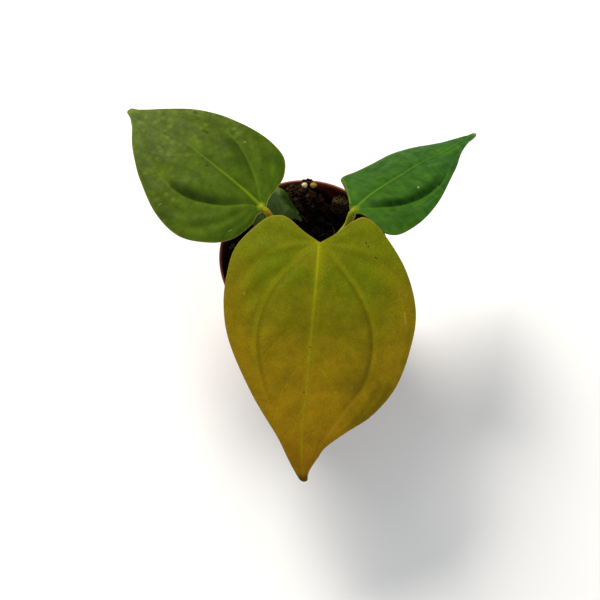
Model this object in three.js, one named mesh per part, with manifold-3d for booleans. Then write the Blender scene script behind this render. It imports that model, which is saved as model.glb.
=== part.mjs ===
// Potted Anthurium portillae: a young plant in a thin terracotta-coloured nursery pot.
// Three velvety heart-shaped leaves and one small new leaf grow from a short stem in bark substrate.
// Millimetres, +Z up. The large front leaf points along -Y. The origin is in the middle of the pot's
// underside, on the surface that the pot stands on.

import * as THREE from 'three';
import { mergeVertices } from 'three/addons/utils/BufferGeometryUtils.js';
import Module from 'manifold-3d';

const wasm = await Module();
wasm.setup();

// Gap between two pieces that touch on the real plant
const GAP = 0.3;

// Pot, a thin moulded shell with a lip, a foot ring and a recessed channel that the water drains into
const POT = {
  height: 62,
  rimRadius: 35,
  lipHeight: 7.5,
  lipStep: 1,
  lipDraft: 0.35,
  baseRadius: 25,
  wall: 1,
  floorTop: 2.4,
  bevel: 0.3,
  heelRadius: 1,
  centreDiscRadius: 9,
  footRingInner: 20,
  channelDepth: 1.1,
  sectors: 48,
};
const DRAIN = { count: 6, radius: 3, ringRadius: 14.5, sides: 14 };

// Substrate, a filled body whose top is heaped at the back left and sunk at the back right
const SUBSTRATE = { level: 50.5, rings: 8, sectors: 36, sideSteps: 2 };
const MOUNDS = [
  { x: -2, y: 34, rise: 12.5, spread: 9.5 },
  { x: -17, y: 24, rise: -2.5, spread: 8 },
  { x: -32, y: 0, rise: 5, spread: 11 },
  { x: 4, y: -33, rise: 3.5, spread: 14 },
  { x: 19, y: 24, rise: -6, spread: 9 },
  { x: 0, y: 2, rise: -1.8, spread: 8 },
];
const RIPPLE = { height: 0.55, lengthX: 7.3, lengthY: 6.1 };
const CHIPS = {
  count: 36,
  seed: 11,
  clearOfStem: 9,
  clearOfWall: 4.5,
  clearOfLeaf: { x: -12, y: 22, radius: 13 },
  long: [4, 8.5],
  broad: [2.4, 4.2],
  thick: [1.8, 3],
  uneven: [0.65, 1.1],
  tilt: 0.3,
};

// Stem, a short stump in a plain hole in the substrate
const STEM = {
  x: 1,
  y: -1,
  foot: 36,
  crownHeight: 52,
  radius: 3.4,
  footRadius: 2.5,
  bevel: 0.9,
  sides: 16,
  domeSteps: 5,
};

// Stones that lie in the substrate at the back of the rim
const STONES = {
  cream_stone: { at: [0.2, 32, 62.6], size: [1.35, 1.2, 1.2], colour: '#d9cfae' },
  yellow_stone: { at: [4, 32.1, 62.3], size: [1.6, 1.3, 1.2], colour: '#9c8a3c' },
};

// Blades
const BLADE = {
  thickness: 0.8,
  panelColumns: [4, 2, 2],
  midribDepth: 1,
  lateralDepth: 0.35,
  ribTaper: 0.3,
  ribRunOut: 0.08,
  bulge: { inner: 1, outer: 0.4 },
  crest: { inner: 1.7, outer: 0.9 },
  fullness: 1.5,
  widthSteps: 20,
  foldEase: 4,
};

// Petioles
const PETIOLE = { radius: 1.2, swelling: 0.35, swellingReach: 0.15, kneeLength: 3, steps: 10, sides: 8 };

// Leaves. The outline and the veins are given on the flat blade as [along the midrib, across it] from the
// point where the petiole joins. Across counts positive on one half and negative on the other.
const LEAVES = {
  front: {
    junction: [6, -6.5, 88],
    tip: [-0.2, -91, 50],
    roll: 0,
    arch: 4.5,
    fold: -0.06,
    rows: 26,
    relief: 1.2,
    colour: '#6b5f0c',
    petioleColour: '#77801f',
    leavesStem: [0.25, -0.45, 0.85],
    route: [[3.6, -3.6, 66], [5.3, -4.6, 80]],
    positive: {
      inner: [[8.8, 8.2], [18.6, 16], [30, 21.6], [42, 22.8], [54, 20], [65, 12.4], [79, 4.4]],
      outer: [[0.2, 6], [1.5, 16], [8.7, 27.2], [20, 32.6], [38, 32], [54, 27.2], [66, 17.8], [79, 5.7]],
      margin: [[-4, 6], [-9, 12], [-10.8, 17], [-6, 23.5], [8, 33.4], [24, 38.4], [39.5, 37], [54, 32.4],
        [65, 24.3], [72, 15.2], [78.4, 7.6], [83.3, 4.5], [87.6, 2.1], [90, 1.4], [92.2, 1.3]],
    },
    negative: {
      inner: [[6.8, -7.8], [18.5, -17], [33, -21.8], [48, -20.6], [62, -15.4], [78, -8]],
      outer: [[0, -6.5], [3, -16], [10, -24.6], [24, -29.4], [42, -27.2], [60, -19.2], [78, -9.4]],
      margin: [[-4, -6.6], [-8.4, -12.4], [-9.6, -16.6], [-7.4, -22.6], [3, -32], [14, -35], [27, -35.4],
        [41, -32], [60, -22.1], [75, -11.8], [83.8, -6.9], [89.2, -3.7], [92.2, -1.6]],
    },
  },
  left: {
    junction: [-16.9, 12.8, 80],
    tip: [-72.5, 54.9, 84],
    roll: 0,
    arch: 4,
    fold: -0.06,
    rows: 22,
    relief: 1.1,
    colour: '#41580e',
    petioleColour: '#a2882a',
    leavesStem: [-0.75, 0.2, 0.63],
    route: [[-7.5, 5, 65.5], [-12.8, 9.6, 75.5]],
    positive: {
      inner: [[5.1, 2.9], [12.8, 10.4], [23.7, 16], [33, 16.8], [44, 13.4], [56, 6.8]],
      outer: [[1.6, 4.4], [4.6, 12], [11, 19.4], [21, 23.8], [33, 22.4], [45, 16.8], [57, 8.6]],
      margin: [[-1, 4], [-1.2, 9], [0.9, 18], [7.2, 25.2], [18, 30.6], [31, 28.8], [44.5, 21.7],
        [52.1, 16.2], [58.1, 10.9], [63.2, 4.9], [66.4, 2.2], [69.2, 1]],
    },
    negative: {
      inner: [[2.6, -1.6], [7.2, -5.6], [16, -11.4], [28, -15.6], [40, -14.2], [54, -7.6]],
      outer: [[1, -3.6], [3, -10], [7.6, -16], [17, -19.6], [28, -20], [40, -17.2], [55, -8.8]],
      margin: [[-0.4, -3.4], [0.3, -9], [1.8, -17], [6.6, -23.1], [15.3, -25], [26, -24], [38.2, -21.1],
        [48.1, -16.6], [57.4, -9.9], [62.6, -5.7], [66.5, -3], [69.2, -1.9]],
    },
  },
  right: {
    junction: [20.2, 11.9, 80],
    tip: [73.4, 55, 66],
    roll: -24,
    arch: 3,
    fold: -0.2,
    rows: 22,
    relief: 1.1,
    curl: { from: 50, tightness: 0.18 },
    colour: '#2e561c',
    petioleColour: '#6c7a22',
    leavesStem: [0.7, 0.4, 0.6],
    route: [[8.8, 4.2, 58.5], [14.1, 7.4, 64.5], [17.2, 9, 70.5]],
    positive: {
      inner: [[3.4, 2.8], [10, 7.6], [18, 10.8], [28, 12], [38, 10.2], [50, 4.6]],
      outer: [[2, 4.4], [5.6, 10.8], [10.4, 15.6], [17.6, 16.4], [28, 15.2], [38, 12.6], [51, 5.4]],
      margin: [[1.1, 4.8], [3, 11.4], [5, 18], [8.6, 22], [13.6, 21.8], [19, 19.6], [28, 17.6], [36, 15.9],
        [43, 12.6], [50, 7], [54.4, 4.2], [60.4, 1.8], [66, 1.1], [69.4, 0.9]],
    },
    negative: {
      inner: [[3, -2.8], [6.5, -6.7], [15.3, -13.2], [26, -15.2], [36, -13], [50, -6.4]],
      outer: [[1.4, -4.6], [3.4, -11], [8.4, -17.4], [16, -19.4], [28, -17.6], [40, -13.2], [52, -6.8]],
      margin: [[-0.3, -3.5], [0.4, -8.8], [-0.4, -16], [2, -20.6], [6.5, -22.6], [14, -23.1], [22, -21.9],
        [30, -19.2], [40, -14.4], [47.2, -10.8], [54.2, -6.4], [61.9, -3.1], [66.6, -2], [69.2, -1.1]],
    },
  },
  small: {
    junction: [-8.5, 14.8, 58.3],
    tip: [-24.4, 34.2, 68],
    roll: 0,
    arch: 1.6,
    fold: -0.12,
    rows: 12,
    relief: 0.4,
    colour: '#2b4630',
    petioleColour: '#5b6f2c',
    leavesStem: [-0.2, 0.9, 0.4],
    route: [[-3.4, 7.8, 55.2]],
    positive: {
      inner: [[2.4, 1.6], [7, 4.2], [13, 5], [20, 2.8]],
      outer: [[0.8, 3], [2.6, 6.4], [8, 8.2], [15, 7], [21.4, 3.2]],
      margin: [[-1.8, 3.4], [-3, 7.2], [0.6, 10], [8, 10.6], [15, 9], [21, 5], [24.6, 1.8]],
    },
    negative: {
      inner: [[2.4, -1.6], [7, -4.2], [13, -5], [20, -2.8]],
      outer: [[0.8, -3], [2.6, -6.4], [8, -8], [15, -6.8], [21.4, -3.2]],
      margin: [[0.5, -2.4], [0.7, -4.6], [-0.6, -6.8], [-3, -8.7], [-0.4, -9.6], [4, -9.8], [8.5, -9.9],
        [11.4, -10.2], [14.4, -8.8], [20, -5.6], [24.4, -1.9]],
    },
  },
};

function mix(a, b, t) {
  return a + (b - a) * t;
}

// 0 up to the first edge, 1 from the second, and smooth between them
function ease(value, from, to) {
  return THREE.MathUtils.smoothstep(value, from, to);
}

// Repeatable random numbers from 0 to 1
function randomFrom(seed) {
  let state = seed;
  return () => {
    state = (state + 0x6d2b79f5) | 0;
    let mixed = Math.imul(state ^ (state >>> 15), state | 1);
    mixed ^= mixed + Math.imul(mixed ^ (mixed >>> 7), mixed | 61);
    return ((mixed ^ (mixed >>> 14)) >>> 0) / 4294967296;
  };
}

function meshGeometry(points, faces) {
  const geometry = new THREE.BufferGeometry();
  geometry.setAttribute('position', new THREE.Float32BufferAttribute(points.flat(), 3));
  geometry.setIndex(faces.flat());
  return geometry;
}

function asSolid(geometry) {
  let bare = geometry.clone();
  bare.deleteAttribute('normal');
  bare.deleteAttribute('uv');
  bare = mergeVertices(bare);
  const vertProperties = bare.getAttribute('position').array;
  const triVerts = new Uint32Array(bare.getIndex().array);
  return new wasm.Manifold(new wasm.Mesh({ numProp: 3, vertProperties, triVerts }));
}

function asGeometry(solid) {
  const mesh = solid.getMesh();
  const geometry = new THREE.BufferGeometry();
  geometry.setAttribute('position', new THREE.BufferAttribute(new Float32Array(mesh.vertProperties), 3));
  geometry.setIndex(new THREE.BufferAttribute(new Uint32Array(mesh.triVerts), 1));
  return geometry;
}

// A turned solid about +Z from [radius, height] points that start and end on the axis, lowest first
function turned(profile, sectors) {
  const geometry = new THREE.LatheGeometry(profile.map(([r, z]) => new THREE.Vector2(r, z)), sectors);
  return geometry.rotateX(Math.PI / 2);
}

// An upright cylinder between two heights
function upright(x, y, radius, low, high, sides) {
  return new THREE.CylinderGeometry(radius, radius, high - low, sides)
    .rotateX(Math.PI / 2)
    .translate(x, y, (low + high) / 2);
}

// Radius of the inside of the pot's wall below the lip
function innerRadius(z) {
  const lipRadius = POT.rimRadius - POT.lipStep;
  const outer = mix(POT.baseRadius, lipRadius, z / (POT.height - POT.lipHeight));
  return outer - POT.wall;
}

function circlePoint(radius, angle) {
  return [radius * Math.cos(angle), radius * Math.sin(angle)];
}

function pot() {
  const { height, rimRadius, lipStep, lipDraft, wall, bevel, floorTop, heelRadius } = POT;
  const lipFoot = height - POT.lipHeight;
  const lipInside = rimRadius - wall;
  const profile = [
    [0, 0],
    [POT.centreDiscRadius, 0],
    [POT.centreDiscRadius + bevel, POT.channelDepth],
    [POT.footRingInner - bevel, POT.channelDepth],
    [POT.footRingInner, 0],
    [POT.baseRadius - heelRadius, 0],
    [POT.baseRadius, heelRadius],
    [rimRadius - lipStep, lipFoot - lipStep],
    [rimRadius - lipDraft, lipFoot],
    [rimRadius, height - wall],
    [rimRadius - bevel, height - bevel / 3],
    [rimRadius - wall / 2, height],
    [lipInside + bevel / 3, height - bevel],
    [lipInside - lipDraft, lipFoot + wall],
    [innerRadius(lipFoot - bevel), lipFoot - bevel],
    [innerRadius(floorTop + heelRadius), floorTop + heelRadius],
    [innerRadius(floorTop) - heelRadius, floorTop],
    [0, floorTop],
  ];
  let solid = asSolid(turned(profile, POT.sectors));
  for (let i = 0; i < DRAIN.count; i += 1) {
    const [x, y] = circlePoint(DRAIN.ringRadius, (i / DRAIN.count) * 2 * Math.PI);
    solid = solid.subtract(asSolid(upright(x, y, DRAIN.radius, -floorTop, 2 * floorTop, DRAIN.sides)));
  }
  return asGeometry(solid);
}

// Height of the substrate's surface
function surfaceHeight(x, y) {
  let height = SUBSTRATE.level;
  for (const mound of MOUNDS) {
    const distance = ((x - mound.x) ** 2 + (y - mound.y) ** 2) / (2 * mound.spread ** 2);
    height += mound.rise * Math.exp(-distance);
  }
  const across = Math.sin((2 * Math.PI * x) / RIPPLE.lengthX);
  const along = Math.sin((2 * Math.PI * y) / RIPPLE.lengthY);
  return height + RIPPLE.height * across * along;
}

// The substrate without its chips: rings of points up along the pot's wall and in over the top
function substrateBody() {
  const { level, rings, sectors, sideSteps } = SUBSTRATE;
  const floor = POT.floorTop + GAP;
  const side = (z) => innerRadius(z) - GAP;
  const points = [[0, 0, floor]];
  const addRing = (pointAt) => {
    for (let j = 0; j < sectors; j += 1) {
      points.push(pointAt((j / sectors) * 2 * Math.PI));
    }
  };
  addRing((angle) => [...circlePoint(side(floor) - POT.heelRadius - GAP, angle), floor]);
  for (let k = 0; k <= sideSteps; k += 1) {
    addRing((angle) => {
      const top = surfaceHeight(...circlePoint(side(level), angle));
      const z = mix(floor + POT.heelRadius + GAP, top, k / sideSteps);
      return [...circlePoint(side(z), angle), z];
    });
  }
  for (let k = rings - 1; k > 0; k -= 1) {
    addRing((angle) => {
      const [x, y] = circlePoint((side(level) * k) / rings, angle);
      return [x, y, surfaceHeight(x, y)];
    });
  }
  points.push([0, 0, surfaceHeight(0, 0)]);
  const ringCount = sideSteps + 1 + rings;
  const at = (ring, j) => 1 + ring * sectors + (j % sectors);
  return asSolid(meshGeometry(points, stackFaces(ringCount, sectors, at, points.length - 1)));
}

// Faces of a stack of rings, closed by the first point below and the last point above
function stackFaces(ringCount, sectors, at, lastPoint) {
  const faces = [];
  for (let j = 0; j < sectors; j += 1) {
    faces.push([0, at(0, j + 1), at(0, j)]);
    for (let ring = 0; ring < ringCount - 1; ring += 1) {
      faces.push([at(ring, j), at(ring, j + 1), at(ring + 1, j + 1)]);
      faces.push([at(ring, j), at(ring + 1, j + 1), at(ring + 1, j)]);
    }
    faces.push([at(ringCount - 1, j), at(ringCount - 1, j + 1), lastPoint]);
  }
  return faces;
}

// A bark chip, a low block with uneven corners
function chip(random, size) {
  const geometry = new THREE.BoxGeometry(...size);
  geometry.deleteAttribute('normal');
  geometry.deleteAttribute('uv');
  const block = mergeVertices(geometry);
  const position = block.getAttribute('position');
  const uneven = () => mix(CHIPS.uneven[0], CHIPS.uneven[1], random());
  for (let i = 0; i < position.count; i += 1) {
    const corner = [position.getX(i) * uneven(), position.getY(i) * uneven(), position.getZ(i) * uneven()];
    position.setXYZ(i, ...corner);
  }
  return block;
}

function substrate() {
  const random = randomFrom(CHIPS.seed);
  const leaf = CHIPS.clearOfLeaf;
  const outermost = innerRadius(SUBSTRATE.level) - CHIPS.clearOfWall;
  let solid = substrateBody();
  let placed = 0;
  while (placed < CHIPS.count) {
    const angle = random() * 2 * Math.PI;
    const [x, y] = circlePoint(mix(CHIPS.clearOfStem, outermost, Math.sqrt(random())), angle);
    const size = [CHIPS.long, CHIPS.broad, CHIPS.thick].map(([low, high]) => mix(low, high, random()));
    const block = chip(random, size);
    block.rotateX(mix(-CHIPS.tilt, CHIPS.tilt, random()));
    block.rotateY(mix(-CHIPS.tilt, CHIPS.tilt, random()));
    block.rotateZ(random() * Math.PI);
    block.translate(x, y, surfaceHeight(x, y));
    if (Math.hypot(x - leaf.x, y - leaf.y) > leaf.radius) {
      solid = solid.add(asSolid(block));
      placed += 1;
    }
  }
  const hole = upright(STEM.x, STEM.y, STEM.radius + GAP, STEM.foot - GAP, POT.height, STEM.sides);
  solid = solid.subtract(asSolid(hole));
  for (const stone of Object.values(STONES)) {
    solid = solid.subtract(asSolid(pebble(stone, GAP)));
  }
  return asGeometry(solid);
}

function stem() {
  const { foot, footRadius, bevel, domeSteps } = STEM;
  const profile = [[0, foot], [footRadius - bevel, foot], [footRadius, foot + bevel]];
  for (let k = 0; k < domeSteps; k += 1) {
    const [radius, rise] = circlePoint(STEM.radius, (k / domeSteps) * (Math.PI / 2));
    profile.push([radius, STEM.crownHeight + rise]);
  }
  profile.push([0, STEM.crownHeight + STEM.radius]);
  return asGeometry(asSolid(turned(profile, STEM.sides).translate(STEM.x, STEM.y, 0)));
}

// A rounded stone, larger all round by the given margin
function pebble(stone, margin) {
  const [a, b, c] = stone.size.map((half) => half + margin);
  return new THREE.IcosahedronGeometry(1, 1).scale(a, b, c).translate(...stone.at);
}

// The blade's own directions: along the midrib, across it to the positive half, and up out of its top
function bladeFrame(leaf) {
  const junction = new THREE.Vector3(...leaf.junction);
  const along = new THREE.Vector3(...leaf.tip).sub(junction);
  const length = along.length();
  along.normalize();
  const level = new THREE.Vector3(0, 0, 1).cross(along).normalize();
  const steep = new THREE.Vector3().crossVectors(along, level);
  const roll = THREE.MathUtils.degToRad(leaf.roll);
  const across = level.clone().multiplyScalar(Math.cos(roll)).addScaledVector(steep, Math.sin(roll));
  const up = new THREE.Vector3().crossVectors(along, across);
  return { junction, along, across, up, length };
}

// Height of the blade's large curves over its flat outline
function bladeRise(leaf, length, u, v) {
  const q = u / length;
  return leaf.arch * 4 * q * (1 - q) + leaf.fold * (Math.hypot(v, BLADE.foldEase) - BLADE.foldEase);
}

// Winds the lobe past a line through the junction onto a cone, so that its back edge curls under
function curledUnder(leaf, u, v) {
  const from = leaf.curl ? THREE.MathUtils.degToRad(leaf.curl.from) : Math.PI;
  const turn = leaf.curl ? (Math.atan2(v, u) - from) / leaf.curl.tightness : 0;
  if (turn <= 0) return [u, v, 0];
  const reach = Math.hypot(u, v);
  const radius = leaf.curl.tightness * reach;
  const beside = radius * Math.sin(turn);
  return [
    reach * Math.cos(from) - beside * Math.sin(from),
    reach * Math.sin(from) + beside * Math.cos(from),
    radius * (1 - Math.cos(turn)),
  ];
}

// The four curves of one half, from the midrib out to the margin, each from the junction to the tip
function halfCurves(half, length) {
  return [[[length / 2, 0]], half.inner, half.outer, half.margin].map((between) => {
    const points = [[0, 0], ...between, [length, 0]];
    return new THREE.SplineCurve(points.map(([u, v]) => new THREE.Vector2(u, v)));
  });
}

// Distance between two curves of one half at a share of the blade's length
function widthBetween(curves, [inside, outside], s) {
  return curves[inside].getPointAt(s).distanceTo(curves[outside].getPointAt(s));
}

// The curves that bound a soft dome of the blade: the one inside the inner lateral vein, and the one
// between that vein and the margin
const DOMES = { inner: [0, 1], outer: [1, 3] };

// The greatest width of each dome of one half
function widestPlaces(curves) {
  const widest = {};
  for (const [way, bounds] of Object.entries(DOMES)) {
    const shares = Array.from({ length: BLADE.widthSteps - 1 }, (_, k) => (k + 1) / BLADE.widthSteps);
    widest[way] = Math.max(...shares.map((s) => widthBetween(curves, bounds, s)));
  }
  return widest;
}

// Rise of the domes at a place, each as full as the blade is wide there
function domeRise({ curves, widest, panel, t }, s) {
  const way = panel === 0 ? 'inner' : 'outer';
  const over = panel === 0 ? t : (panel - 1 + t) / 2;
  const full = (widthBetween(curves, DOMES[way], s) / widest[way]) ** BLADE.fullness;
  return full * BLADE.bulge[way] * Math.sin(Math.PI * over ** BLADE.crest[way]);
}

// A heart-shaped blade: grooves over the veins and bulges between them on top, ribs under the veins
function blade(leaf) {
  const frame = bladeFrame(leaf);
  const { length } = frame;
  const columns = [];
  for (const [side, half] of [[-1, leaf.negative], [1, leaf.positive]]) {
    const curves = halfCurves(half, length);
    const widest = widestPlaces(curves);
    const stations = [];
    BLADE.panelColumns.forEach((count, panel) => {
      for (let k = 0; k < count; k += 1) {
        stations.push({ curves, widest, panel, t: (k + 1) / count });
      }
    });
    if (side < 0) {
      columns.push(...stations.reverse(), { curves, widest, panel: 0, t: 0 });
    } else {
      columns.push(...stations);
    }
  }
  const middle = [];
  const depth = [];
  for (let i = 0; i <= leaf.rows; i += 1) {
    const s = i / leaf.rows;
    const row = [];
    const ribs = [];
    for (const column of columns) {
      const { curves, panel, t } = column;
      const a = curves[panel].getPointAt(s);
      const b = curves[panel + 1].getPointAt(s);
      const [u, v, drop] = curledUnder(leaf, mix(a.x, b.x, t), mix(a.y, b.y, t));
      const rise = bladeRise(leaf, length, u, v) + leaf.relief * domeRise(column, s) - drop;
      row.push(frame.junction.clone()
        .addScaledVector(frame.along, u)
        .addScaledVector(frame.across, v)
        .addScaledVector(frame.up, rise));
      const onMidrib = panel === 0 && t === 0;
      const onLateral = t === 1 && panel < 2;
      const rib = (onMidrib ? BLADE.midribDepth : 0) + (onLateral ? BLADE.lateralDepth : 0);
      const ends = ease(s, 0, BLADE.ribRunOut) * ease(1 - s, 0, BLADE.ribRunOut);
      ribs.push(rib * leaf.relief * ends * mix(1, BLADE.ribTaper, s));
    }
    middle.push(row);
    depth.push(ribs);
  }
  return shell(middle, depth);
}

// A closed sheet round a grid of points whose first and last rows are each one point.
// Its two faces are split into triangles alike, and depth adds ribs on the lower one.
function shell(middle, depth) {
  const last = middle.length - 1;
  const width = middle[0].length;
  const count = 2 + (last - 1) * width;
  const index = (i, j) => {
    if (i === 0) return 0;
    return i === last ? count - 1 : 1 + (i - 1) * width + j;
  };
  const centre = new Array(count);
  const ribs = new Array(count);
  const upper = [];
  for (let i = 0; i <= last; i += 1) {
    for (let j = 0; j < width; j += 1) {
      centre[index(i, j)] = middle[i][j];
      ribs[index(i, j)] = depth[i][j];
      const insideRow = i < last && j < width - 1;
      if (insideRow && i > 0) upper.push([index(i, j), index(i + 1, j), index(i, j + 1)]);
      if (insideRow && i < last - 1) upper.push([index(i + 1, j), index(i + 1, j + 1), index(i, j + 1)]);
    }
  }
  const normals = centre.map(() => new THREE.Vector3());
  for (const face of upper) {
    const [a, b, c] = face.map((k) => centre[k]);
    const normal = b.clone().sub(a).cross(c.clone().sub(a)).normalize();
    face.forEach((k) => normals[k].add(normal));
  }
  normals.forEach((normal) => normal.normalize());
  const half = BLADE.thickness / 2;
  const points = [
    ...centre.map((point, k) => point.clone().addScaledVector(normals[k], half).toArray()),
    ...centre.map((point, k) => point.clone().addScaledVector(normals[k], -half - ribs[k]).toArray()),
  ];
  const faces = [...upper, ...upper.map(([a, b, c]) => [count + a, count + c, count + b])];
  const addEdge = (from, to) => faces.push([from, count + from, count + to], [from, count + to, to]);
  for (let i = 0; i < last; i += 1) {
    addEdge(index(i, 0), index(i + 1, 0));
    addEdge(index(i + 1, width - 1), index(i, width - 1));
  }
  return meshGeometry(points, faces);
}

// The line of a petiole, from the stem's crown up to just under the blade
function petioleCurve(leaf) {
  const { junction, up } = bladeFrame(leaf);
  const crown = new THREE.Vector3(STEM.x, STEM.y, STEM.crownHeight);
  const start = new THREE.Vector3(...leaf.leavesStem).normalize();
  const foot = crown.clone().addScaledVector(start, STEM.radius + GAP);
  const knee = crown.clone().addScaledVector(start, STEM.radius + PETIOLE.kneeLength);
  const route = leaf.route.map((point) => new THREE.Vector3(...point));
  const approach = junction.clone().sub(route[route.length - 1]).normalize();
  const slant = Math.sqrt(1 - approach.dot(up) ** 2);
  const below = BLADE.thickness / 2 + GAP + (PETIOLE.radius + PETIOLE.swelling) * slant;
  const head = junction.clone().addScaledVector(up, -below);
  return new THREE.CatmullRomCurve3([foot, knee, ...route, head], false, 'centripetal');
}

// A petiole, thicker at both ends
function petiole(leaf) {
  const { steps, sides, swellingReach } = PETIOLE;
  const curve = petioleCurve(leaf);
  const frames = curve.computeFrenetFrames(steps, false);
  const points = [curve.getPointAt(0).toArray()];
  for (let i = 0; i <= steps; i += 1) {
    const s = i / steps;
    const nearEnd = Math.max(ease(swellingReach - s, 0, swellingReach), ease(s, 1 - swellingReach, 1));
    const radius = PETIOLE.radius + PETIOLE.swelling * nearEnd;
    for (let j = 0; j < sides; j += 1) {
      const [x, y] = circlePoint(radius, (j / sides) * 2 * Math.PI);
      const rim = curve.getPointAt(s);
      rim.addScaledVector(frames.normals[i], x).addScaledVector(frames.binormals[i], y);
      points.push(rim.toArray());
    }
  }
  points.push(curve.getPointAt(1).toArray());
  const at = (i, j) => 1 + i * sides + (j % sides);
  return meshGeometry(points, stackFaces(steps + 1, sides, at, points.length - 1));
}

const plant = new THREE.Group();

function addPiece(name, geometry, colour, roughness) {
  const material = new THREE.MeshStandardMaterial({ color: colour, roughness, metalness: 0 });
  const mesh = new THREE.Mesh(geometry, material);
  mesh.name = name;
  plant.add(mesh);
}

addPiece('pot', pot(), '#8a4830', 0.55);
addPiece('substrate', substrate(), '#231a13', 0.95);
addPiece('stem', stem(), '#5c5a26', 0.7);
for (const [name, stone] of Object.entries(STONES)) {
  addPiece(name, asGeometry(asSolid(pebble(stone, 0))), stone.colour, 0.85);
}
for (const [name, leaf] of Object.entries(LEAVES)) {
  addPiece(`petiole_${name}`, petiole(leaf), leaf.petioleColour, 0.5);
  addPiece(`blade_${name}`, blade(leaf), leaf.colour, 0.6);
}

export default plant;
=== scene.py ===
"""Potted Anthurium portillae, dressed around its frame.

A young plant in a thin terracotta-coloured nursery pot: three velvety heart-shaped leaves and one small new
leaf on a short stem in bark substrate. Shapes are worked out in millimetres, in the frame's own axes, and
become metres where a mesh is made.
"""

import math

import bmesh
import bpy
import numpy as np
from bpy.props import FloatProperty, FloatVectorProperty, IntProperty, PointerProperty
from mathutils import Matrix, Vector, noise
from mathutils.kdtree import KDTree


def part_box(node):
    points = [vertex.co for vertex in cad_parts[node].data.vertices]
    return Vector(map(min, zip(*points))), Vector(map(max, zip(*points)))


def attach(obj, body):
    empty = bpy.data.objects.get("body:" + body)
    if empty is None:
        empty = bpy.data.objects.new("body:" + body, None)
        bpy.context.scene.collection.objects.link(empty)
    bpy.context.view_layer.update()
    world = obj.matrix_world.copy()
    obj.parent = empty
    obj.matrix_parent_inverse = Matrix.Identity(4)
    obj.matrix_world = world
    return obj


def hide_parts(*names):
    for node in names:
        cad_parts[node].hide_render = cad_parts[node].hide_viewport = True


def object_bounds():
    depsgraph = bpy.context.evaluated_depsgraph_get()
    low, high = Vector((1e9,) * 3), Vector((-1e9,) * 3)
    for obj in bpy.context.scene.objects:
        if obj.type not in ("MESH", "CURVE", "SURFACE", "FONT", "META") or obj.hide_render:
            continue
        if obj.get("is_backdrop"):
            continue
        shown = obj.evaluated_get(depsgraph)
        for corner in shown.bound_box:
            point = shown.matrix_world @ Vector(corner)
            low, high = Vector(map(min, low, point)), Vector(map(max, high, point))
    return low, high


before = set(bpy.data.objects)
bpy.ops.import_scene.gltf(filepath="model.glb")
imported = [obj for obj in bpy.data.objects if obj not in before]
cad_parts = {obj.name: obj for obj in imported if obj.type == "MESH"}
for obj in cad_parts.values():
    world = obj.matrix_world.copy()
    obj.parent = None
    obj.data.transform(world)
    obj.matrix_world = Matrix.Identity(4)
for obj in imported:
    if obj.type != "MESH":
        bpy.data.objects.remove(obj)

bl_info = {
    "name": "Potted anthurium",
    "version": (1, 0, 0),
    "blender": (4, 5, 0),
    "location": "3D View > Sidebar > Plant",
    "description": "Builds a potted anthurium: pot, substrate, stem, petioles and velvety blades",
    "category": "Add Mesh",
}

CAD_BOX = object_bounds()
MM = 0.001


def linear(colour):
    """A hex sRGB colour as linear red, green, blue and alpha."""
    shares = [int(colour[i:i + 2], 16) / 255 for i in (1, 3, 5)]
    return (*(c / 12.92 if c <= 0.04045 else ((c + 0.055) / 1.055) ** 2.4 for c in shares), 1.0)


def mix(a, b, t):
    return a + (b - a) * t


def bell(distance, height, width):
    """A smooth hump that has its height at distance 0 and 37% of it one width away."""
    return height * np.exp(-(distance / width) ** 2)


def ease(value, low, high):
    """0 at low, 1 at high, smooth between them and level beyond."""
    t = np.clip((np.asarray(value, float) - low) / (high - low), 0, 1)
    return t * t * (3 - 2 * t)


# Sizes in millimetres. Those of the pot come from the frame.

POT_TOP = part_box("pot")[1].z / MM
RIM_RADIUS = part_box("pot")[1].x / MM
# Clearance between pieces that stand against each other
GAP = 0.3

POT = {
    "lip_height": 7.5,
    "lip_step": 1.0,
    "lip_draft": 0.35,
    "base_radius": 25.0,
    "wall": 1.0,
    "floor_top": 2.4,
    "centre_disc": 9.0,
    "foot_ring_inner": 20.0,
    "channel_depth": 1.1,
    "gate_mark": 1.4,
    "ring_gap": 2.5,
    "sectors": 192,
}
DRAIN = {"count": 6, "radius": 3.0, "ring_radius": 14.5, "sides": 48}

SOIL_LEVEL = 50.5
MOUNDS = [
    # x, y, rise, spread
    (-2, 34, 12.5, 9.5),
    (-17, 24, -2.5, 8),
    (-32, 0, 5, 11),
    (4, -33, 3.5, 14),
    (19, 24, -6, 9),
    (0, 2, -1.8, 8),
]
RIPPLE = {"height": 0.55, "length_x": 7.3, "length_y": 6.1}
# Rings on the floor, up the side and over the top of the mass, and the bevel at its foot
SOIL_MESH = {"sectors": 260, "floor": 3, "side": 12, "top": 84, "bevel": 1.3}
# The frame's chips, placed by its own rule, which also draws for each corner
CHIPS = {
    "count": 36,
    "seed": 11,
    "clear_of_stem": 9,
    "clear_of_wall": 4.5,
    "clear_of_leaf": (-12, 22, 13),
    "long": (4, 8.5),
    "broad": (2.4, 4.2),
    "thick": (1.8, 3),
    "corner_draws": 24,
    "tilt": 0.3,
}
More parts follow.
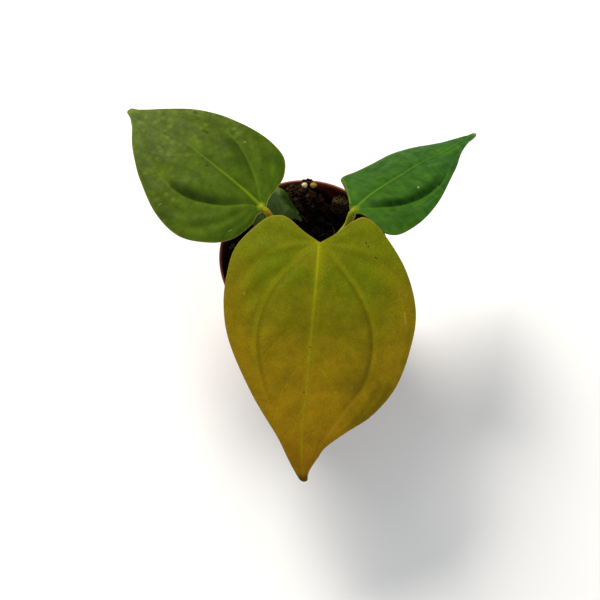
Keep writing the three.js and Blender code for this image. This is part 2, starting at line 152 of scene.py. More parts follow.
# Pieces of bark: sizes along, across and through, cells each way and how far the fibres stick out. Loose
# pieces also keep clear of the stem and the wall and lie a little over the soil.
BARK = {
    "chip": {"share_of_frame": 0.88, "cells": (8, 5, 4), "fray": 0.3},
    "small": {"sizes": ((1.4, 4.2), (0.8, 2.0), (0.5, 1.3)), "cells": (4, 3, 2), "fray": 0.22,
              "clear": 2.4, "lift": 0.25},
    "crumb": {"sizes": ((0.35, 1.1),) * 3, "cells": (2, 2, 2), "fray": 0.12, "clear": 1.0, "lift": 0.3},
    "clump": {"sizes": ((0.4, 1.5),) * 3, "cells": (2, 2, 2), "fray": 0.14},
    "heap": {"sizes": ((5.0, 7.5), (3.4, 5.0), (2.2, 3.2)), "cells": (7, 5, 3), "fray": 0.35},
}
# Heights between which the bark goes from dark to pale: damp and, as painted shade of the sunken soil,
# darker lower down
DAMP_AND_SHADED_BELOW, DRY_AND_PALE_ABOVE = 53, 62
CLUMPS = [
    # x, y, spread, crumbs, how dry and pale
    (-7.5, 30.5, 2.6, 90, 0.75),
    (-2.0, 30.5, 2.4, 70, 0.55),
    (3.4, 29.6, 1.1, 34, 0.7),
    (7.4, 29.2, 1.2, 40, 0.8),
    (12.2, 28.2, 1.5, 44, 0.6),
    (-31.2, -8.0, 1.6, 40, 1.0),
    (0.9, 34.4, 2.4, 90, 0.12),
    (15.6, 26.8, 2.2, 60, 0.5),
    (11.0, 24.5, 1.6, 30, 0.3),
]
# The mossy heap at the right, with the radius of its flat top
HEAP = {
    "at": (15.6, 26.6),
    "foot": 48.5,
    "top": 58.6,
    "pieces": 11,
    "spread": 2.6,
    "flat_top": 2.2,
}
# A moss shoot: its height and lean, how many leaves it has, and a leaf's length and half width
SHOOT = {"height": (0.8, 1.9), "lean": 0.4, "leaves": 9, "leaf_length": (0.4, 0.65), "leaf_half": 0.13}
# Turn in radians from one leaf of its spiral to the next
GOLDEN_TURN = 2.4
MOSS = [
    # x, y, radius, shoots
    (15.6, 26.6, 2.2, 48),
    (17.7, 25.2, 1.0, 12),
    (1.4, 34.4, 1.5, 12),
    (-30.7, 7.3, 1.4, 40),
    (-27.1, 9.2, 1.0, 20),
    (-29, -4, 2.2, 16),
    (-28, -12, 3.0, 34),
    (24, 17, 2.6, 26),
    (8, -27, 3.4, 30),
    (-22, 17, 2.6, 24),
]
# A loose fibre: its points and the step between them, how high it arches, its radius, and how far it keeps
# clear of the stem and the wall
FIBRE = {"points": 12, "step": (0.5, 1.3), "lift": (0.3, 1.3), "radius": (0.09, 0.2), "clear": 3.0}
ROOTS = [
    # points of a root strand, radius
    ([(-3.4, 28.6, 60.2), (-1.6, 27.6, 59.2), (0.2, 26.8, 58.0), (1.6, 25.9, 56.8)], 0.22),
    ([(5.6, 27.4, 56.2), (7.6, 27.8, 55.9), (9.6, 27.0, 54.6), (11.8, 26.6, 52.9)], 0.16),
    ([(-10.0, 27.5, 58.0), (-8.4, 25.8, 57.2), (-6.4, 25.0, 56.4)], 0.16),
]

STEM = {
    "x": 1.0,
    "y": -1.0,
    "foot": 36.0,
    "crown": 52.0,
    "radius": 3.4,
    "scars": (41.5, 45.2, 48.4, 51),
    "scales": 7,
    "seed": 29,
    "sides": 64,
}

STONES = {
    "cream_stone": {
        "at": (0.2, 32.0, 62.6),
        "size": (1.35, 1.2, 1.2),
        "shades": ("#a89a7c", "#dccfb0"),
    },
    "yellow_stone": {
        "at": (4.0, 32.1, 62.3),
        "size": (1.6, 1.3, 1.2),
        "shades": ("#6e5a1c", "#a48c38"),
    },
}

# Height of the skin between its veins, and where its crest lies: inside and outside the inner lateral vein
BULGE = (1.0, 0.4)
CREST = (1.7, 0.9)
# Shallow waves between the side veins, and how far they lean towards the tip
QUILT = {"height": 0.16, "waves": 5, "lean": 0.27}
# Width over which the fold along the midrib is rounded
FOLD_EASE = 4.0
# Depth and width of the grooves over the veins, from the middle of which the midrib's own line stands up
GROOVES = {"midrib": (0.34, 2.1), "line": (0.3, 0.5), "inner": (0.2, 1.3), "outer": (0.06, 1.2)}
# Height and width of the ribs under the blade. The side veins' width is a share of their spacing.
RIBS = {"midrib": (1, 0.75), "inner": (0.35, 0.6), "side": (0.1, 0.05)}
# Where the rounded rim begins, as a share of the way from the last column but one to the last
RIM_FROM = 0.62

# Leaves. Outline and veins are given on the flat blade as (along the midrib, across it) from the point where
# the petiole joins. Across counts positive on one half and negative on the other.
# The roll turns the blade about its midrib, in degrees. The arch is its rise halfway along, and the fold its
# rise for each mm across. Rows run across the blade, and columns fill the bands between midrib, inner and
# outer lateral vein and margin. The relief, on the negative half and then on the positive one, is a share of
# the general height between the veins. An edge roll is (how deep, how far in), on the positive half first.
# The girth widens the petiole, and the shoulder is the share of the swelling over it. The petiole leaves the
# stem in the direction given, follows the route and merges with the blade in its last points, each given as
# (along the blade, how far below it).

LEAVES = {
    "front": {
        "junction": (6, -6.5, 88),
        "tip": (-0.2, -91, 50),
        "roll": 0,
        "arch": 4.5,
        "fold": -0.06,
        "rows": 230,
        "columns": (30, 18, 14),
        "relief": (1.2, 1.2),
        "midrib": [(20, -0.45), (40, -1.1), (58, -1.3), (70, -1.8), (83, -1.3)],
        "curl": None,
        "girth": 1,
        "shoulder": 0,
        "edge_rolls": ((0.35, 2.5), (0.35, 2.5)),
        "leaves_stem": (0.25, -0.45, 0.85),
        "route": [(3.6, -3.6, 66), (5.3, -4.9, 80)],
        "merges": [(1.9, 1.6), (5.5, 1.1)],
        "positive": {
            "inner": [(8.8, 8.2), (18.6, 16), (30, 21.6), (42, 22.8), (54, 20), (65, 12.4), (79, 4.4)],
            "outer": [(0.2, 6), (1.5, 16), (8.7, 27.2), (20, 32.6), (38, 32), (54, 27.2), (66, 17.8),
                      (79, 5.7)],
            "margin": [(-4, 6), (-9, 12), (-10.8, 17), (-6, 23.5), (8, 33.4), (24, 38.4), (39.5, 37),
                       (54, 32.4), (65, 24.3), (72, 15.2), (78.4, 7.6), (83.3, 4.5), (87.6, 2.1), (90, 1.4),
                       (92.2, 1.3)],
        },
        "negative": {
            "inner": [(6.8, -7.8), (18.5, -17), (33, -21.8), (48, -20.6), (62, -15.4), (78, -8)],
            "outer": [(0, -6.5), (3, -16), (10, -24.6), (24, -29.4), (42, -27.2), (60, -19.2), (78, -9.4)],
            "margin": [(-4, -6.6), (-8.4, -12.4), (-9.6, -16.6), (-7.4, -22.6), (3, -32), (14, -35),
                       (27, -35.4), (41, -32), (60, -22.1), (75, -11.8), (83.8, -6.9), (89.2, -3.7),
                       (92.2, -1.6)],
        },
    },
    "left": {
        "junction": (-16.9, 12.8, 80),
        "tip": (-72.5, 54.9, 84),
        "roll": 0,
        "arch": 4,
        "fold": -0.06,
        "rows": 190,
        "columns": (24, 14, 12),
        "relief": (1.1, 1.1),
        "midrib": [(10, -0.8), (22, -1.1), (32.7, -1.5), (40, -1.8), (47, -1.1), (58, -0.2)],
        "curl": None,
        "girth": 1,
        "shoulder": 1,
        "edge_rolls": ((0.35, 2.5), (0.35, 2.5)),
        "leaves_stem": (-0.75, 0.2, 0.63),
        "route": [(-7.5, 5, 65.5), (-12.8, 9.6, 75.5)],
        "merges": [(-1.2, 0.75), (1.2, 0.7), (4.2, 0.8)],
        "positive": {
            "inner": [(5.1, 2.9), (12.8, 10.4), (23.7, 16), (33, 16.8), (44, 13.4), (56, 6.8)],
            "outer": [(1.6, 4.4), (4.6, 12), (11, 19.4), (21, 23.8), (33, 22.4), (45, 16.8), (57, 8.6)],
            "margin": [(-1, 0.02), (-1.9, 0.12), (-1.7, 1.2), (-1.2, 2.1), (-0.7, 3.6), (-1, 5.6),
                       (-1.3, 9), (0.9, 18), (7.2, 25.2), (18, 30.6), (31, 28.8), (44.5, 21.7),
                       (52.1, 16.2), (58.1, 10.9), (63.2, 4.9), (66.4, 2.2), (69.2, 1)],
        },
        "negative": {
            "inner": [(2.6, -1.6), (7.2, -5.6), (16, -11.4), (28, -15.6), (40, -14.2), (54, -7.6)],
            "outer": [(1, -3.6), (3, -10), (7.6, -16), (17, -19.6), (28, -20), (40, -17.2), (55, -8.8)],
            "margin": [(-1, -0.02), (-2, -0.12), (-1.7, -1), (-1, -1.9), (-0.2, -3.6), (0.3, -6.4),
                       (0.4, -10), (1.8, -17), (6.6, -23.1), (15.3, -25), (26, -24), (38.2, -21.1),
                       (48.1, -16.6), (57.4, -9.9), (62.6, -5.7), (66.5, -3), (69.2, -1.9)],
        },
    },
    "right": {
        "junction": (20.2, 11.9, 80),
        "tip": (73.4, 55, 66),
        "roll": -24,
        "arch": 3,
        "fold": -0.2,
        "rows": 190,
        "columns": (24, 14, 12),
        "relief": (1.1, 0.3),
        "midrib": [(8, 0.7), (17, 0.4), (25.5, -0.2), (34.7, -0.7), (48, -1.4), (60, -0.8)],
        "curl": {"from": 59.7, "tightness": 0.035},
        "shoulder": 1,
        "girth": 1.18,
        "edge_rolls": ((0.35, 2.5), (0.35, 2.5)),
        "leaves_stem": (0.7, 0.4, 0.6),
        "route": [(8.8, 4.2, 58.5), (14.1, 7.4, 64.5), (17.2, 9, 70.5)],
        "merges": [(-0.7, 0.75), (1.2, 0.7), (4.2, 0.8)],
        "positive": {
            "inner": [(3.4, 2.8), (10, 7.6), (18, 10.8), (28, 12), (38, 10.2), (50, 4.6)],
            "outer": [(2, 4.4), (5.6, 10.8), (10.4, 15.6), (17.6, 16.4), (28, 15.2), (38, 12.6), (51, 5.4)],
            "margin": [(-1, 0.02), (-2, 0.12), (-1.8, 0.9), (-1.2, 1.8), (-0.3, 3), (0.9, 5.2), (2.6, 10),
                       (5, 18), (8.6, 22), (13.6, 21.8), (19, 19.6), (28, 17.6), (36, 15.9), (43, 12.6),
                       (50, 7), (54.4, 4.2), (60.4, 1.8), (66, 1.1), (69.4, 0.9)],
        },
        "negative": {
            "inner": [(3, -2.8), (6.5, -6.7), (15.3, -13.4), (26, -15.7), (36, -13.7), (50, -6.8)],
            "outer": [(1.4, -4.6), (3.4, -11), (8.4, -17.4), (16, -19.4), (28, -17.6), (40, -13.2),
                      (52, -6.8)],
            "margin": [(-1, -0.02), (-2, -0.12), (-1.7, -1.2), (-1, -2.4), (-0.3, -3.3), (0.2, -5.3),
                       (0.4, -8.8), (-0.4, -16), (2, -20.6), (6.5, -22.6), (14, -23.1), (22, -21.9),
                       (30, -19.2), (40, -14.4), (47.2, -10.8), (54.2, -6.4), (61.9, -3.1), (66.6, -2),
                       (69.2, -1.1)],
        },
    },
    "small": {
        "junction": (-8.5, 14.8, 58.3),
        "tip": (-24.4, 34.2, 68),
        "roll": 0,
        "arch": 1.6,
        "fold": -0.12,
        "rows": 110,
        "columns": (14, 8, 8),
        "relief": (0.4, 0.4),
        "midrib": [(12, 0)],
        "curl": None,
        "girth": 1,
        "shoulder": 0,
        "edge_rolls": ((0.3, 2.5), (2.6, 4.0)),
        "leaves_stem": (-0.2, 0.9, 0.4),
        "route": [(-3.4, 7.8, 55.2)],
        "merges": [(-0.3, 0.7), (2.6, 0.35), (6, 0.15)],
        "positive": {
            "inner": [(2.4, 1.6), (7, 4.2), (13, 5), (20, 2.8)],
            "outer": [(0.8, 3), (2.6, 6.4), (8, 8.2), (15, 7), (21.4, 3.2)],
            "margin": [(-1.8, 3.4), (-3, 7.2), (0.6, 10), (8, 10.6), (15, 9), (21, 5), (24.6, 1.8)],
        },
        "negative": {
            "inner": [(2.4, -1.6), (7, -4.2), (13, -5), (20, -2.8)],
            "outer": [(0.8, -3), (2.6, -6.4), (8, -8), (15, -6.8), (21.4, -3.2)],
            "margin": [(0.5, -2.4), (0.7, -4.6), (-0.6, -6.8), (-3, -8.7), (-0.4, -9.6), (4, -9.8),
                       (8.5, -9.9), (11.4, -10.2), (14.4, -8.8), (20, -5.6), (24.4, -1.9)],
        },
    },
}

# Looks of the leaves: colours and how strongly each trait of the skin shows

TRAITS = {
    # Values for the front, left, right and small leaf
    # Colours of the skin: general, by the petiole, aged, mottled lighter and darker, dots (also for patches
    # of painted light), veins (also for the painted sparkle), painted shade in hollows and marks (also for
    # stains), margin, tip, last third, by the join, scars and lower skin
    "base": ("#746207", "#3d4e05", "#294d17", "#536a29"),
    "young": ("#566602", "#3d5802", "#2e500a", "#3e581a"),
    "aged": ("#9e7809", "#41530a", "#294c24", "#587132"),
    "pale": ("#7c6d0c", "#495d0b", "#315915", "#66813b"),
    "dark": ("#534a04", "#304102", "#1b3e0d", "#29420f"),
    "dot": ("#866416", "#5f7810", "#43720e", "#465c36"),
    "vein": ("#8e8c07", "#6b8002", "#57790e", "#48603a"),
    "groove": ("#494600", "#1d2d00", "#072500", "#092201"),
    "edge": ("#86702c", "#9c9650", "#6f7c22", "#43592f"),
    "tip": ("#4a3010", "#5a691f", "#6a7a2a", "#46582f"),
    "tail": ("#774c06", "#45560a", "#2d5124", "#56702f"),
    "collar": ("#858807", "#848a06", "#6c7808", "#48603a"),
    "spot": ("#96801c", "#74885c", "#93a67e", "#5a7048"),
    "underside": ("#6f6a2e", "#66764a", "#5c7444", "#4a5c3a"),
    # Pale rim: width, share of it by the base, and how far round the base that is full
    "rim": ((0.45, 0.55, 25), (0.5, 0.75, 18), (0.35, 0.6, 6), (0.5, 0.65, 15)),
    # Surface
    "roughness": (0.62, 0.55, 0.5, 0.45),
    "specular": (0.06, 0.1, 0.03, 0.12),
    "sheen": (0.02, 0.01, 0.01, 0.01),
    # Shares of ageing, mottling, dots, painted sparkle, fuzz and fine veins
    "blotch": (0.85, 0.6, 0.5, 0.5),
    "mottle": (0.25, 0.6, 0.45, 0.4),
    "dots": (0.15, 0.45, 0.3, 0.0),
    "painted_sparkle": (0.5, 0.1, 0.05, 0.0),
    "fuzz": (0.2, 0.08, 0.06, 0.06),
    "threads": (0.14, 0.06, 0.1, 0.15),
    # Painted shade in the hollow beside the inner lateral vein: share on the negative and positive half,
    # width, and span along the blade; and the share of the midrib's darker flanks
    "hollow_shade": ((0.5, 0.5), (0.35, 0.9), (0.97, 0.1), (0.3, 0.1)),
    "hollow_shade_mm": (2.6, 5.5, 4.8, 3.0),
    "hollow_shade_span": ((0.12, 0.5), (0.2, 0.42), (0.12, 0.4), (0.2, 0.6)),
    "flank": (0.0, 0.2, 0.15, 0.1),
    # Main veins: share of the halo, width of the laterals' pale band and its share on each half, share
    # and end share of all, and width of the midrib's line
    "halo": (0.34, 0.0, 0.0, 0.0),
    "band": (1.7, 0.8, 0.8, 1.2),
    "lateral": ((0.34, 0.2), (0.14, 0.1), (0.12, 0.0), (0.3, 0.3)),
    "vein_share": (0.85, 0.85, 0.6, 0.4),
    "vein_end": (0.35, 0.08, 0.4, 0.3),
    "line_mm": (1.2, 0.75, 0.75, 0.6),
    # Clouds: size along and across, and how much they lighten and darken
    "clouds_mm": ((7, 7), (6, 6), (3, 9), (4, 4)),
    "clouds": (0.14, 0.26, 0.3, 0.18),
    # Share of the length at which the tip's colour begins
    "tip_from": (0.96, 0.95, 0.965, 0.96),
}
LOOKS = {name: {trait: values[number] for trait, values in TRAITS.items()}
         for number, name in enumerate(LEAVES)}

# Marks on the blades, scars, stains and specks and soft patches of painted shade and painted light:
# (along, across, half length, half width, turn in degrees, kind) in flat millimetres

MARKS = {
    "front": [
        (21.3, -27.8, 0.75, 0.5, 10, "spot"),
        (26.5, 34.3, 2.8, 0.45, 8, "spot"),
        (54.2, 15.9, 0.8, 0.6, 0, "spot"),
        (-1.0, 17.6, 0.6, 0.25, 30, "speck"),
        (0.3, 18.6, 0.5, 0.2, -20, "speck"),
        (4.5, 21.8, 0.8, 0.25, 60, "speck"),
        (19.4, -1.8, 0.3, 0.22, 0, "speck"),
        (40.0, -1.1, 0.4, 0.3, 0, "speck"),
        (57.4, -2.2, 0.5, 0.3, 0, "speck"),
        # Painted shade: a broad veil over the middle, and darker patches where the margin on the right turns
        # down away from the light
        (30, 4, 12, 20, 0, "painted_veil_shade"),
        (51.5, 17, 8, 4, -70, "shade"),
        (62, 23.5, 13, 5.5, -32, "shade"),
        (57, 26, 8, 3.5, -32, "shade"),
    ],
    "left": [
        (37.0, -10.5, 1.6, 0.9, 10, "stain"),
        (46.6, -15.3, 1.2, 0.7, 0, "stain"),
        (27.2, 0.8, 0.55, 0.3, 20, "speck"),
        (22.2, -17.3, 0.6, 0.4, 40, "spot"),
        (31.3, 25.2, 0.9, 0.25, 70, "spot"),
        (3.5, 16.0, 1.0, 0.2, 70, "spot"),
        # Painted shade, partly darker blotches
        (27.7, -11.5, 6, 3.4, 15, "shade"),
        (18.9, -9.9, 5, 3, -20, "shade"),
        (10.0, -18.1, 4, 3.4, 60, "shade"),
        (28.0, 26.8, 6, 3, -12, "shade"),
        (49.9, 9.1, 5, 4, 0, "shade"),
        (24.3, -23.3, 6, 3, -25, "shade"),
        # Painted light, partly paler patches
        (36.9, -3.5, 4, 2.4, 0, "pale_patch_and_painted_light"),
        (37.9, 14.1, 4, 3, -30, "pale_patch_and_painted_light"),
        (12.9, 25.2, 4, 2.4, 30, "pale_patch_and_painted_light"),
    ],
    "right": [
        (24.4, -11.1, 0.45, 0.38, 30, "spot"),
        (41.0, -8.7, 0.6, 0.4, 0, "stain"),
        # Painted light, partly paler streaks
        (32.5, -9.0, 3, 1.2, -20, "pale_patch_and_painted_light"),
        (6.5, 7.5, 3.6, 1.2, 55, "pale_patch_and_painted_light"),
        (50, -1, 7, 3, -8, "pale_patch_and_painted_light"),
        (19.3, -16.9, 3, 0.8, -10, "pale_patch_and_painted_light"),
        # Painted shade
        (26.5, 13.0, 5, 2, 20, "shade"),
        (8.5, -17.0, 4, 3, 0, "shade"),
    ],
    "small": [
        # Painted shade where the blade bends down on one side
        (7.4, -8.6, 5.5, 2.8, 4, "painted_fold_shade"),
        (7, -0.6, 3.2, 1.3, 0, "shade"),
        # Painted light on the lit parts of the blade
        (12, -2.4, 4, 3, 0, "pale_patch_and_painted_light"),
        (2.6, -5, 3, 1.5, 0, "pale_patch_and_painted_light"),
    ],
}

# The petiole runs straight out of the stem up to its knee. The sheath widens its foot within the sheath's
# reach, and the swelling its head, between two places before the joint. From the taper's place before the
# joint on it thins, to a share of its radius at the end.
PETIOLE = {
    "radius": 1.2,
    "sheath": 0.75,
    "sheath_reach": 6.5,
    "swelling": 0.25,
    "swells_from": 9,
    "swells_to": 3,
    "knee": 3.0,
    "taper": 3.0,
    "end": 0.16,
    "flat": 0.9,
    "steps": 110,
    "sides": 24,
}
PETIOLE_COLOURS = {
    # foot, middle; the head has the blade's collar colour
    "front": ("#5a4a18", "#6c701a"),
    "left": ("#5a3c0a", "#9a740a"),
    "right": ("#54500e", "#8e921a"),
    "small": ("#4a451a", "#4f5f24"),
}

# Stage. The camera's place is in millimetres and its angles in degrees.
# The lights' places and sizes are in metres.

CAMERA = {
    "at": (-1.7206, -165.7143, 430.1356),
    "elevation": 68.395,
    "field_of_view": 34.0,
    "sensor_mm": 36,
}
LIGHTS = [
    {"name": "key", "at": (-0.34, 0.62, 0.68), "aim": (0, 0, 0.06), "size": 0.4, "share": 1.0,
     "colour": "#fffaf2"},
    {"name": "fill", "at": (0.7, -0.5, 0.9), "aim": (0, 0, 0.06), "size": 0.9, "share": 0.25,
     "colour": "#f4f8ff"},
]


# Numbers that repeat, and noise


def random_from(seed):
    """Repeatable random numbers from 0 to 1, by the rule that places the frame's chips."""
    full = 0xFFFFFFFF
    state = seed

    def draw():
        nonlocal state
        state = (state + 0x6D2B79F5) & full
        mixed = ((state ^ (state >> 15)) * (state | 1)) & full
        mixed ^= (mixed + (((mixed ^ (mixed >> 7)) * (mixed | 61)) & full)) & full
        return (mixed ^ (mixed >> 14)) / (full + 1)

    return draw


def rough(points, size, seed=0.0, octaves=1):
    """Noise from about -1 to 1 at each point. The size of its bumps may be one for each axis."""
    scaled = np.asarray(points, float) / size + seed
    heights = np.zeros(len(scaled))
    weight = 1.0
    for _ in range(octaves):
        heights += weight * np.array([noise.noise(Vector(p)) for p in scaled])
        scaled = scaled * 2 + 17.3
        weight /= 2
    return heights


# Lines and meshes


def line_through(points, shares, centripetal=False):
    """Places at the given shares of the length of a smooth line through the points."""
    points = np.asarray(points, float)
    first, last = points[0], points[-1]
    if centripetal:
        before, after = 2 * first - points[1], 2 * last - points[-2]
    else:
        before, after = first, last
    padded = np.vstack([before, points, after])
    fine = []
    steps = np.linspace(0, 1, 60, endpoint=False)[:, None]
    for a, b, c, d in zip(padded, padded[1:], padded[2:], padded[3:]):
        gaps = [max(np.linalg.norm(q - p), 1e-6) ** (0.5 if centripetal else 0) for p, q in
                ((a, b), (b, c), (c, d))]
        leave = ((b - a) / gaps[0] - (c - a) / (gaps[0] + gaps[1]) + (c - b) / gaps[1]) * gaps[1]
        arrive = ((c - b) / gaps[1] - (d - b) / (gaps[1] + gaps[2]) + (d - c) / gaps[2]) * gaps[1]
        curve = (2 * b - 2 * c + leave + arrive) * steps ** 3
        fine.append(curve + (3 * c - 3 * b - 2 * leave - arrive) * steps ** 2 + leave * steps + b)
    fine = np.vstack([*fine, last[None]])
    reach = np.concatenate([[0], np.cumsum(np.linalg.norm(np.diff(fine, axis=0), axis=1))])
    wanted = np.asarray(shares) * reach[-1]
    return np.column_stack([np.interp(wanted, reach, fine[:, k]) for k in range(fine.shape[1])])


def ring_faces(rings, sides):
    """Quads between rings of points that stand in order."""
    faces = []
    for i in range(rings - 1):
        for j in range(sides):
            a, b = i * sides + j, i * sides + (j + 1) % sides
            faces.append((a, b, b + sides, a + sides))
    return faces


def capped_rings(rings, low, high):
    """A closed body from a stack of rings and a point below and above it."""
    rings = np.asarray(rings)
    count, sides = rings.shape[:2]
    points = np.vstack([rings.reshape(-1, 3), low, high])
    bottom, top = count * sides, count * sides + 1
    faces = ring_faces(count, sides)
    for j in range(sides):
        after = (j + 1) % sides
        faces.append((bottom, after, j))
        faces.append((top, (count - 1) * sides + j, (count - 1) * sides + after))
    return points, faces


def sweep(line, radii, sides, flatten=1.0):
    """A closed tube along a line of points; flatten under 1 makes its section flatter."""
    line = np.asarray(line, float)
    ahead = np.gradient(line, axis=0)
    ahead /= np.linalg.norm(ahead, axis=1)[:, None]
    side = np.cross(ahead[0], (0, 0, 1) if abs(ahead[0][2]) < 0.9 else (1, 0, 0))
    turn = np.linspace(0, 2 * math.pi, sides, endpoint=False)
    rings = []
    for place, direction, radius in zip(line, ahead, np.broadcast_to(radii, len(line))):
        side = side - direction * np.dot(side, direction)
        side /= np.linalg.norm(side)
        upward = np.cross(direction, side)
        rings.append(place + radius * (np.cos(turn)[:, None] * side
                                       + flatten * np.sin(turn)[:, None] * upward))
    return capped_rings(rings, line[0], line[-1])


def joined(parts):
    """Several (points, faces) as one, with the place in the list of each point's part."""
    points, faces, owners, start = [], [], [], 0
    for number, (part_points, part_faces) in enumerate(parts):
        points.append(part_points)
        faces.extend(tuple(start + v for v in face) for face in part_faces)
        owners.extend([number] * len(part_points))
        start += len(part_points)
    return np.vstack(points), faces, np.array(owners)


def add_piece(name, points, faces, materials, slot, nodes=(), measures=None, worn=None, sharp=None):
    """A mesh of the object from millimetre points. measures are numbers for each point that its materials
    read, worn says which material each face wears, and sharp is the angle in degrees that stays an edge."""
    mesh = bpy.data.meshes.new(name)
    mesh.from_pydata((np.asarray(points) * MM).tolist(), [], faces)
    for material in materials:
        mesh.materials.append(material)
    if worn is not None:
        mesh.polygons.foreach_set("material_index", np.asarray(worn, np.int32))
    for label, values in (measures or {}).items():
        values = np.asarray(values, np.float32)
        kind = "FLOAT" if values.ndim == 1 else "FLOAT_VECTOR"
        attribute = mesh.attributes.new(label, kind, "POINT")
        attribute.data.foreach_set("value" if values.ndim == 1 else "vector", values.ravel())
    mesh.shade_smooth()
    if sharp is not None:
        mesh.set_sharp_from_angle(angle=math.radians(sharp))
    mesh.update()
    piece = bpy.data.objects.new(name, mesh)
    bpy.context.scene.collection.objects.link(piece)
    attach(piece, "root")
    if nodes:
        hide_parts(*nodes)
    return piece


# Materials

RGBA = {"data_type": "RGBA"}
MULTIPLY = {"data_type": "RGBA", "blend_type": "MULTIPLY"}
SMOOTH = {"interpolation_type": "SMOOTHSTEP"}
TIMES = {"operation": "MULTIPLY"}
TIMES_CLAMPED = {"operation": "MULTIPLY", "use_clamp": True}
TIMES_PLUS = {"operation": "MULTIPLY_ADD"}
PLUS = {"operation": "ADD"}
MINUS = {"operation": "SUBTRACT"}
FRACTION = {"operation": "FRACT"}
UNSIGNED = {"operation": "ABSOLUTE"}
LARGER = {"operation": "MAXIMUM"}
LENGTH = {"operation": "LENGTH"}
NET = {"feature": "DISTANCE_TO_EDGE"}

# What a blade's mesh tells its skin at each point: place on the flat blade, share of the length, distance
# from the midrib, from the inner and outer lateral veins and from the margin, and phase of the side veins
BLADE_MEASURES = ("flat_mm", "along", "midrib", "inner_mm", "outer_mm", "edge_mm", "phase")

# Refractive indices
PLANT_SKIN = 1.42
DRY_MATTER = 1.45
POLYPROPYLENE = 1.49


def start_material(name):
    """A new material, and a function that adds a node to it with its settings and links.

    The inputs are values for the sockets, in their order or by their names, and a node or socket among them
    is linked. So a MapRange has its value, the two ends it comes from and the two ends it goes to.
    """
    material = bpy.data.materials.new(name)
    material.use_nodes = True
    tree = material.node_tree
    tree.nodes.clear()

    def node(kind, settings=None, inputs=()):
        made = tree.nodes.new("ShaderNode" + kind)
        for option, value in (settings or {}).items():
            setattr(made, option, value)
        live = [socket for socket in made.inputs if socket.enabled]
        named = isinstance(inputs, dict)
        for key, value in inputs.items() if named else enumerate(inputs):
            socket = next(s for s in live if s.name == key) if named else live[key]
            if isinstance(value, bpy.types.Node):
                value = next(s for s in value.outputs if s.enabled)
            if isinstance(value, bpy.types.NodeSocket):
                tree.links.new(value, socket)
            else:
                socket.default_value = value
        return made

    return material, node


def measure(node, label):
    """The mesh's own number or place with this label."""
    return node("Attribute", {"attribute_name": label})


def finish_material(node, skin):
    """Adds the surface shader and the output; skin holds the shader's values and links."""
    node("OutputMaterial", None, {"Surface": node("BsdfPrincipled", None, skin)})


def add_marks(node, colour, name, look, flat):
    """Small scars, scratches and specks of dirt, and soft patches of painted shade and painted light, at
    their places on the flat blade.
    """
    kinds = {
        # colour, share, reach in the mark's own radii at which it begins and is full, size of its fraying
        "spot": (look["spot"], 0.6, 1.65, 1.25, 0.7),
        "speck": ("#241d08", 0.8, 1.65, 1.25, 0.7),
        "stain": (look["groove"], 0.6, 1.65, 1.25, 0.7),
        # Painted shade: a broad veil, soft patches, on the left blade partly darker blotches, and the deep
        # shade of a fold
        "painted_veil_shade": (look["groove"], 0.2, 2.2, 0.8, 2.5),
        "shade": (look["groove"], 0.34, 2.0, 0.8, 2.5),
        "painted_fold_shade": (look["groove"], 0.8, 1.9, 1.0, 2.5),
        # Painted light in soft lighter patches, on the right blade partly paler streaks
        "pale_patch_and_painted_light": (look["dot"], 0.3, 2.0, 0.8, 2.5),
    }
    for along, across, long_half, short_half, turn, kind in MARKS[name]:
        tone, share, begins, full, fray = kinds[kind]
        place = node("Mapping", {"vector_type": "TEXTURE"}, {
            "Vector": flat,
            "Location": (along, across, 0),
            "Rotation": (0, 0, math.radians(turn)),
            "Scale": (long_half, short_half, 1),
        })
        ragged = node("TexNoise", None, {"Vector": flat, "Scale": 1 / fray, "Detail": 2})
        reach = node("VectorMath", LENGTH, (place,))
        uneven = node("Math", PLUS, (reach.outputs["Value"], ragged))
        inside = node("MapRange", SMOOTH, (uneven, begins, full, 0, share))
        colour = node("Mix", RGBA, (inside, colour, linear(tone)))
    return colour


def tissue(node, look, blade):
    """Young tissue near the petiole, aged parts in patches of about 14 mm and towards the tip, and clouds.
    Gives the colour, how far along a place counts with its patch, and how far it is inside the margin."""
    flat, along = blade["flat_mm"], blade["along"]
    patches = node("TexNoise", None, {"Vector": flat, "Scale": 1 / 14, "Detail": 3, "Roughness": 0.6})
    uneven = node("Math", TIMES_PLUS, (patches, 0.2, along))
    basal = node("MapRange", SMOOTH, (uneven, 0.8, 0.05))
    core = node("MapRange", SMOOTH, (blade["edge_mm"], 1, 15, 0.2))
    lobes = node("MapRange", SMOOTH, (along, 0.3, 0.0, 0, 0.75))
    young = node("Math", LARGER, (node("Math", TIMES, (basal, core)), lobes))
    colour = node("Mix", RGBA, (young, linear(look["base"]), linear(look["young"])))
    outward = node("MapRange", SMOOTH, (uneven, 0.22, 1.19, 0, look["blotch"]))
    colour = node("Mix", RGBA, (outward, colour, linear(look["aged"])))
    tail = node("MapRange", SMOOTH, (along, 0.7, 0.98, 0, 0.7))
    colour = node("Mix", RGBA, (tail, colour, linear(look["tail"])))
    cloud_along, cloud_across = look["clouds_mm"]
    stretched = node("Mapping", None, {"Vector": flat, "Scale": (1 / cloud_along, 1 / cloud_across, 1)})
    clouds = node("TexNoise", None, {"Vector": stretched, "Scale": 1.0, "Detail": 3, "Roughness": 0.55})
    tone = node("MapRange", None, (clouds, 0.3, 0.7, 1 - look["clouds"], 1 + look["clouds"]))
    return node("Mix", MULTIPLY, (1.0, colour, tone)), uneven, core


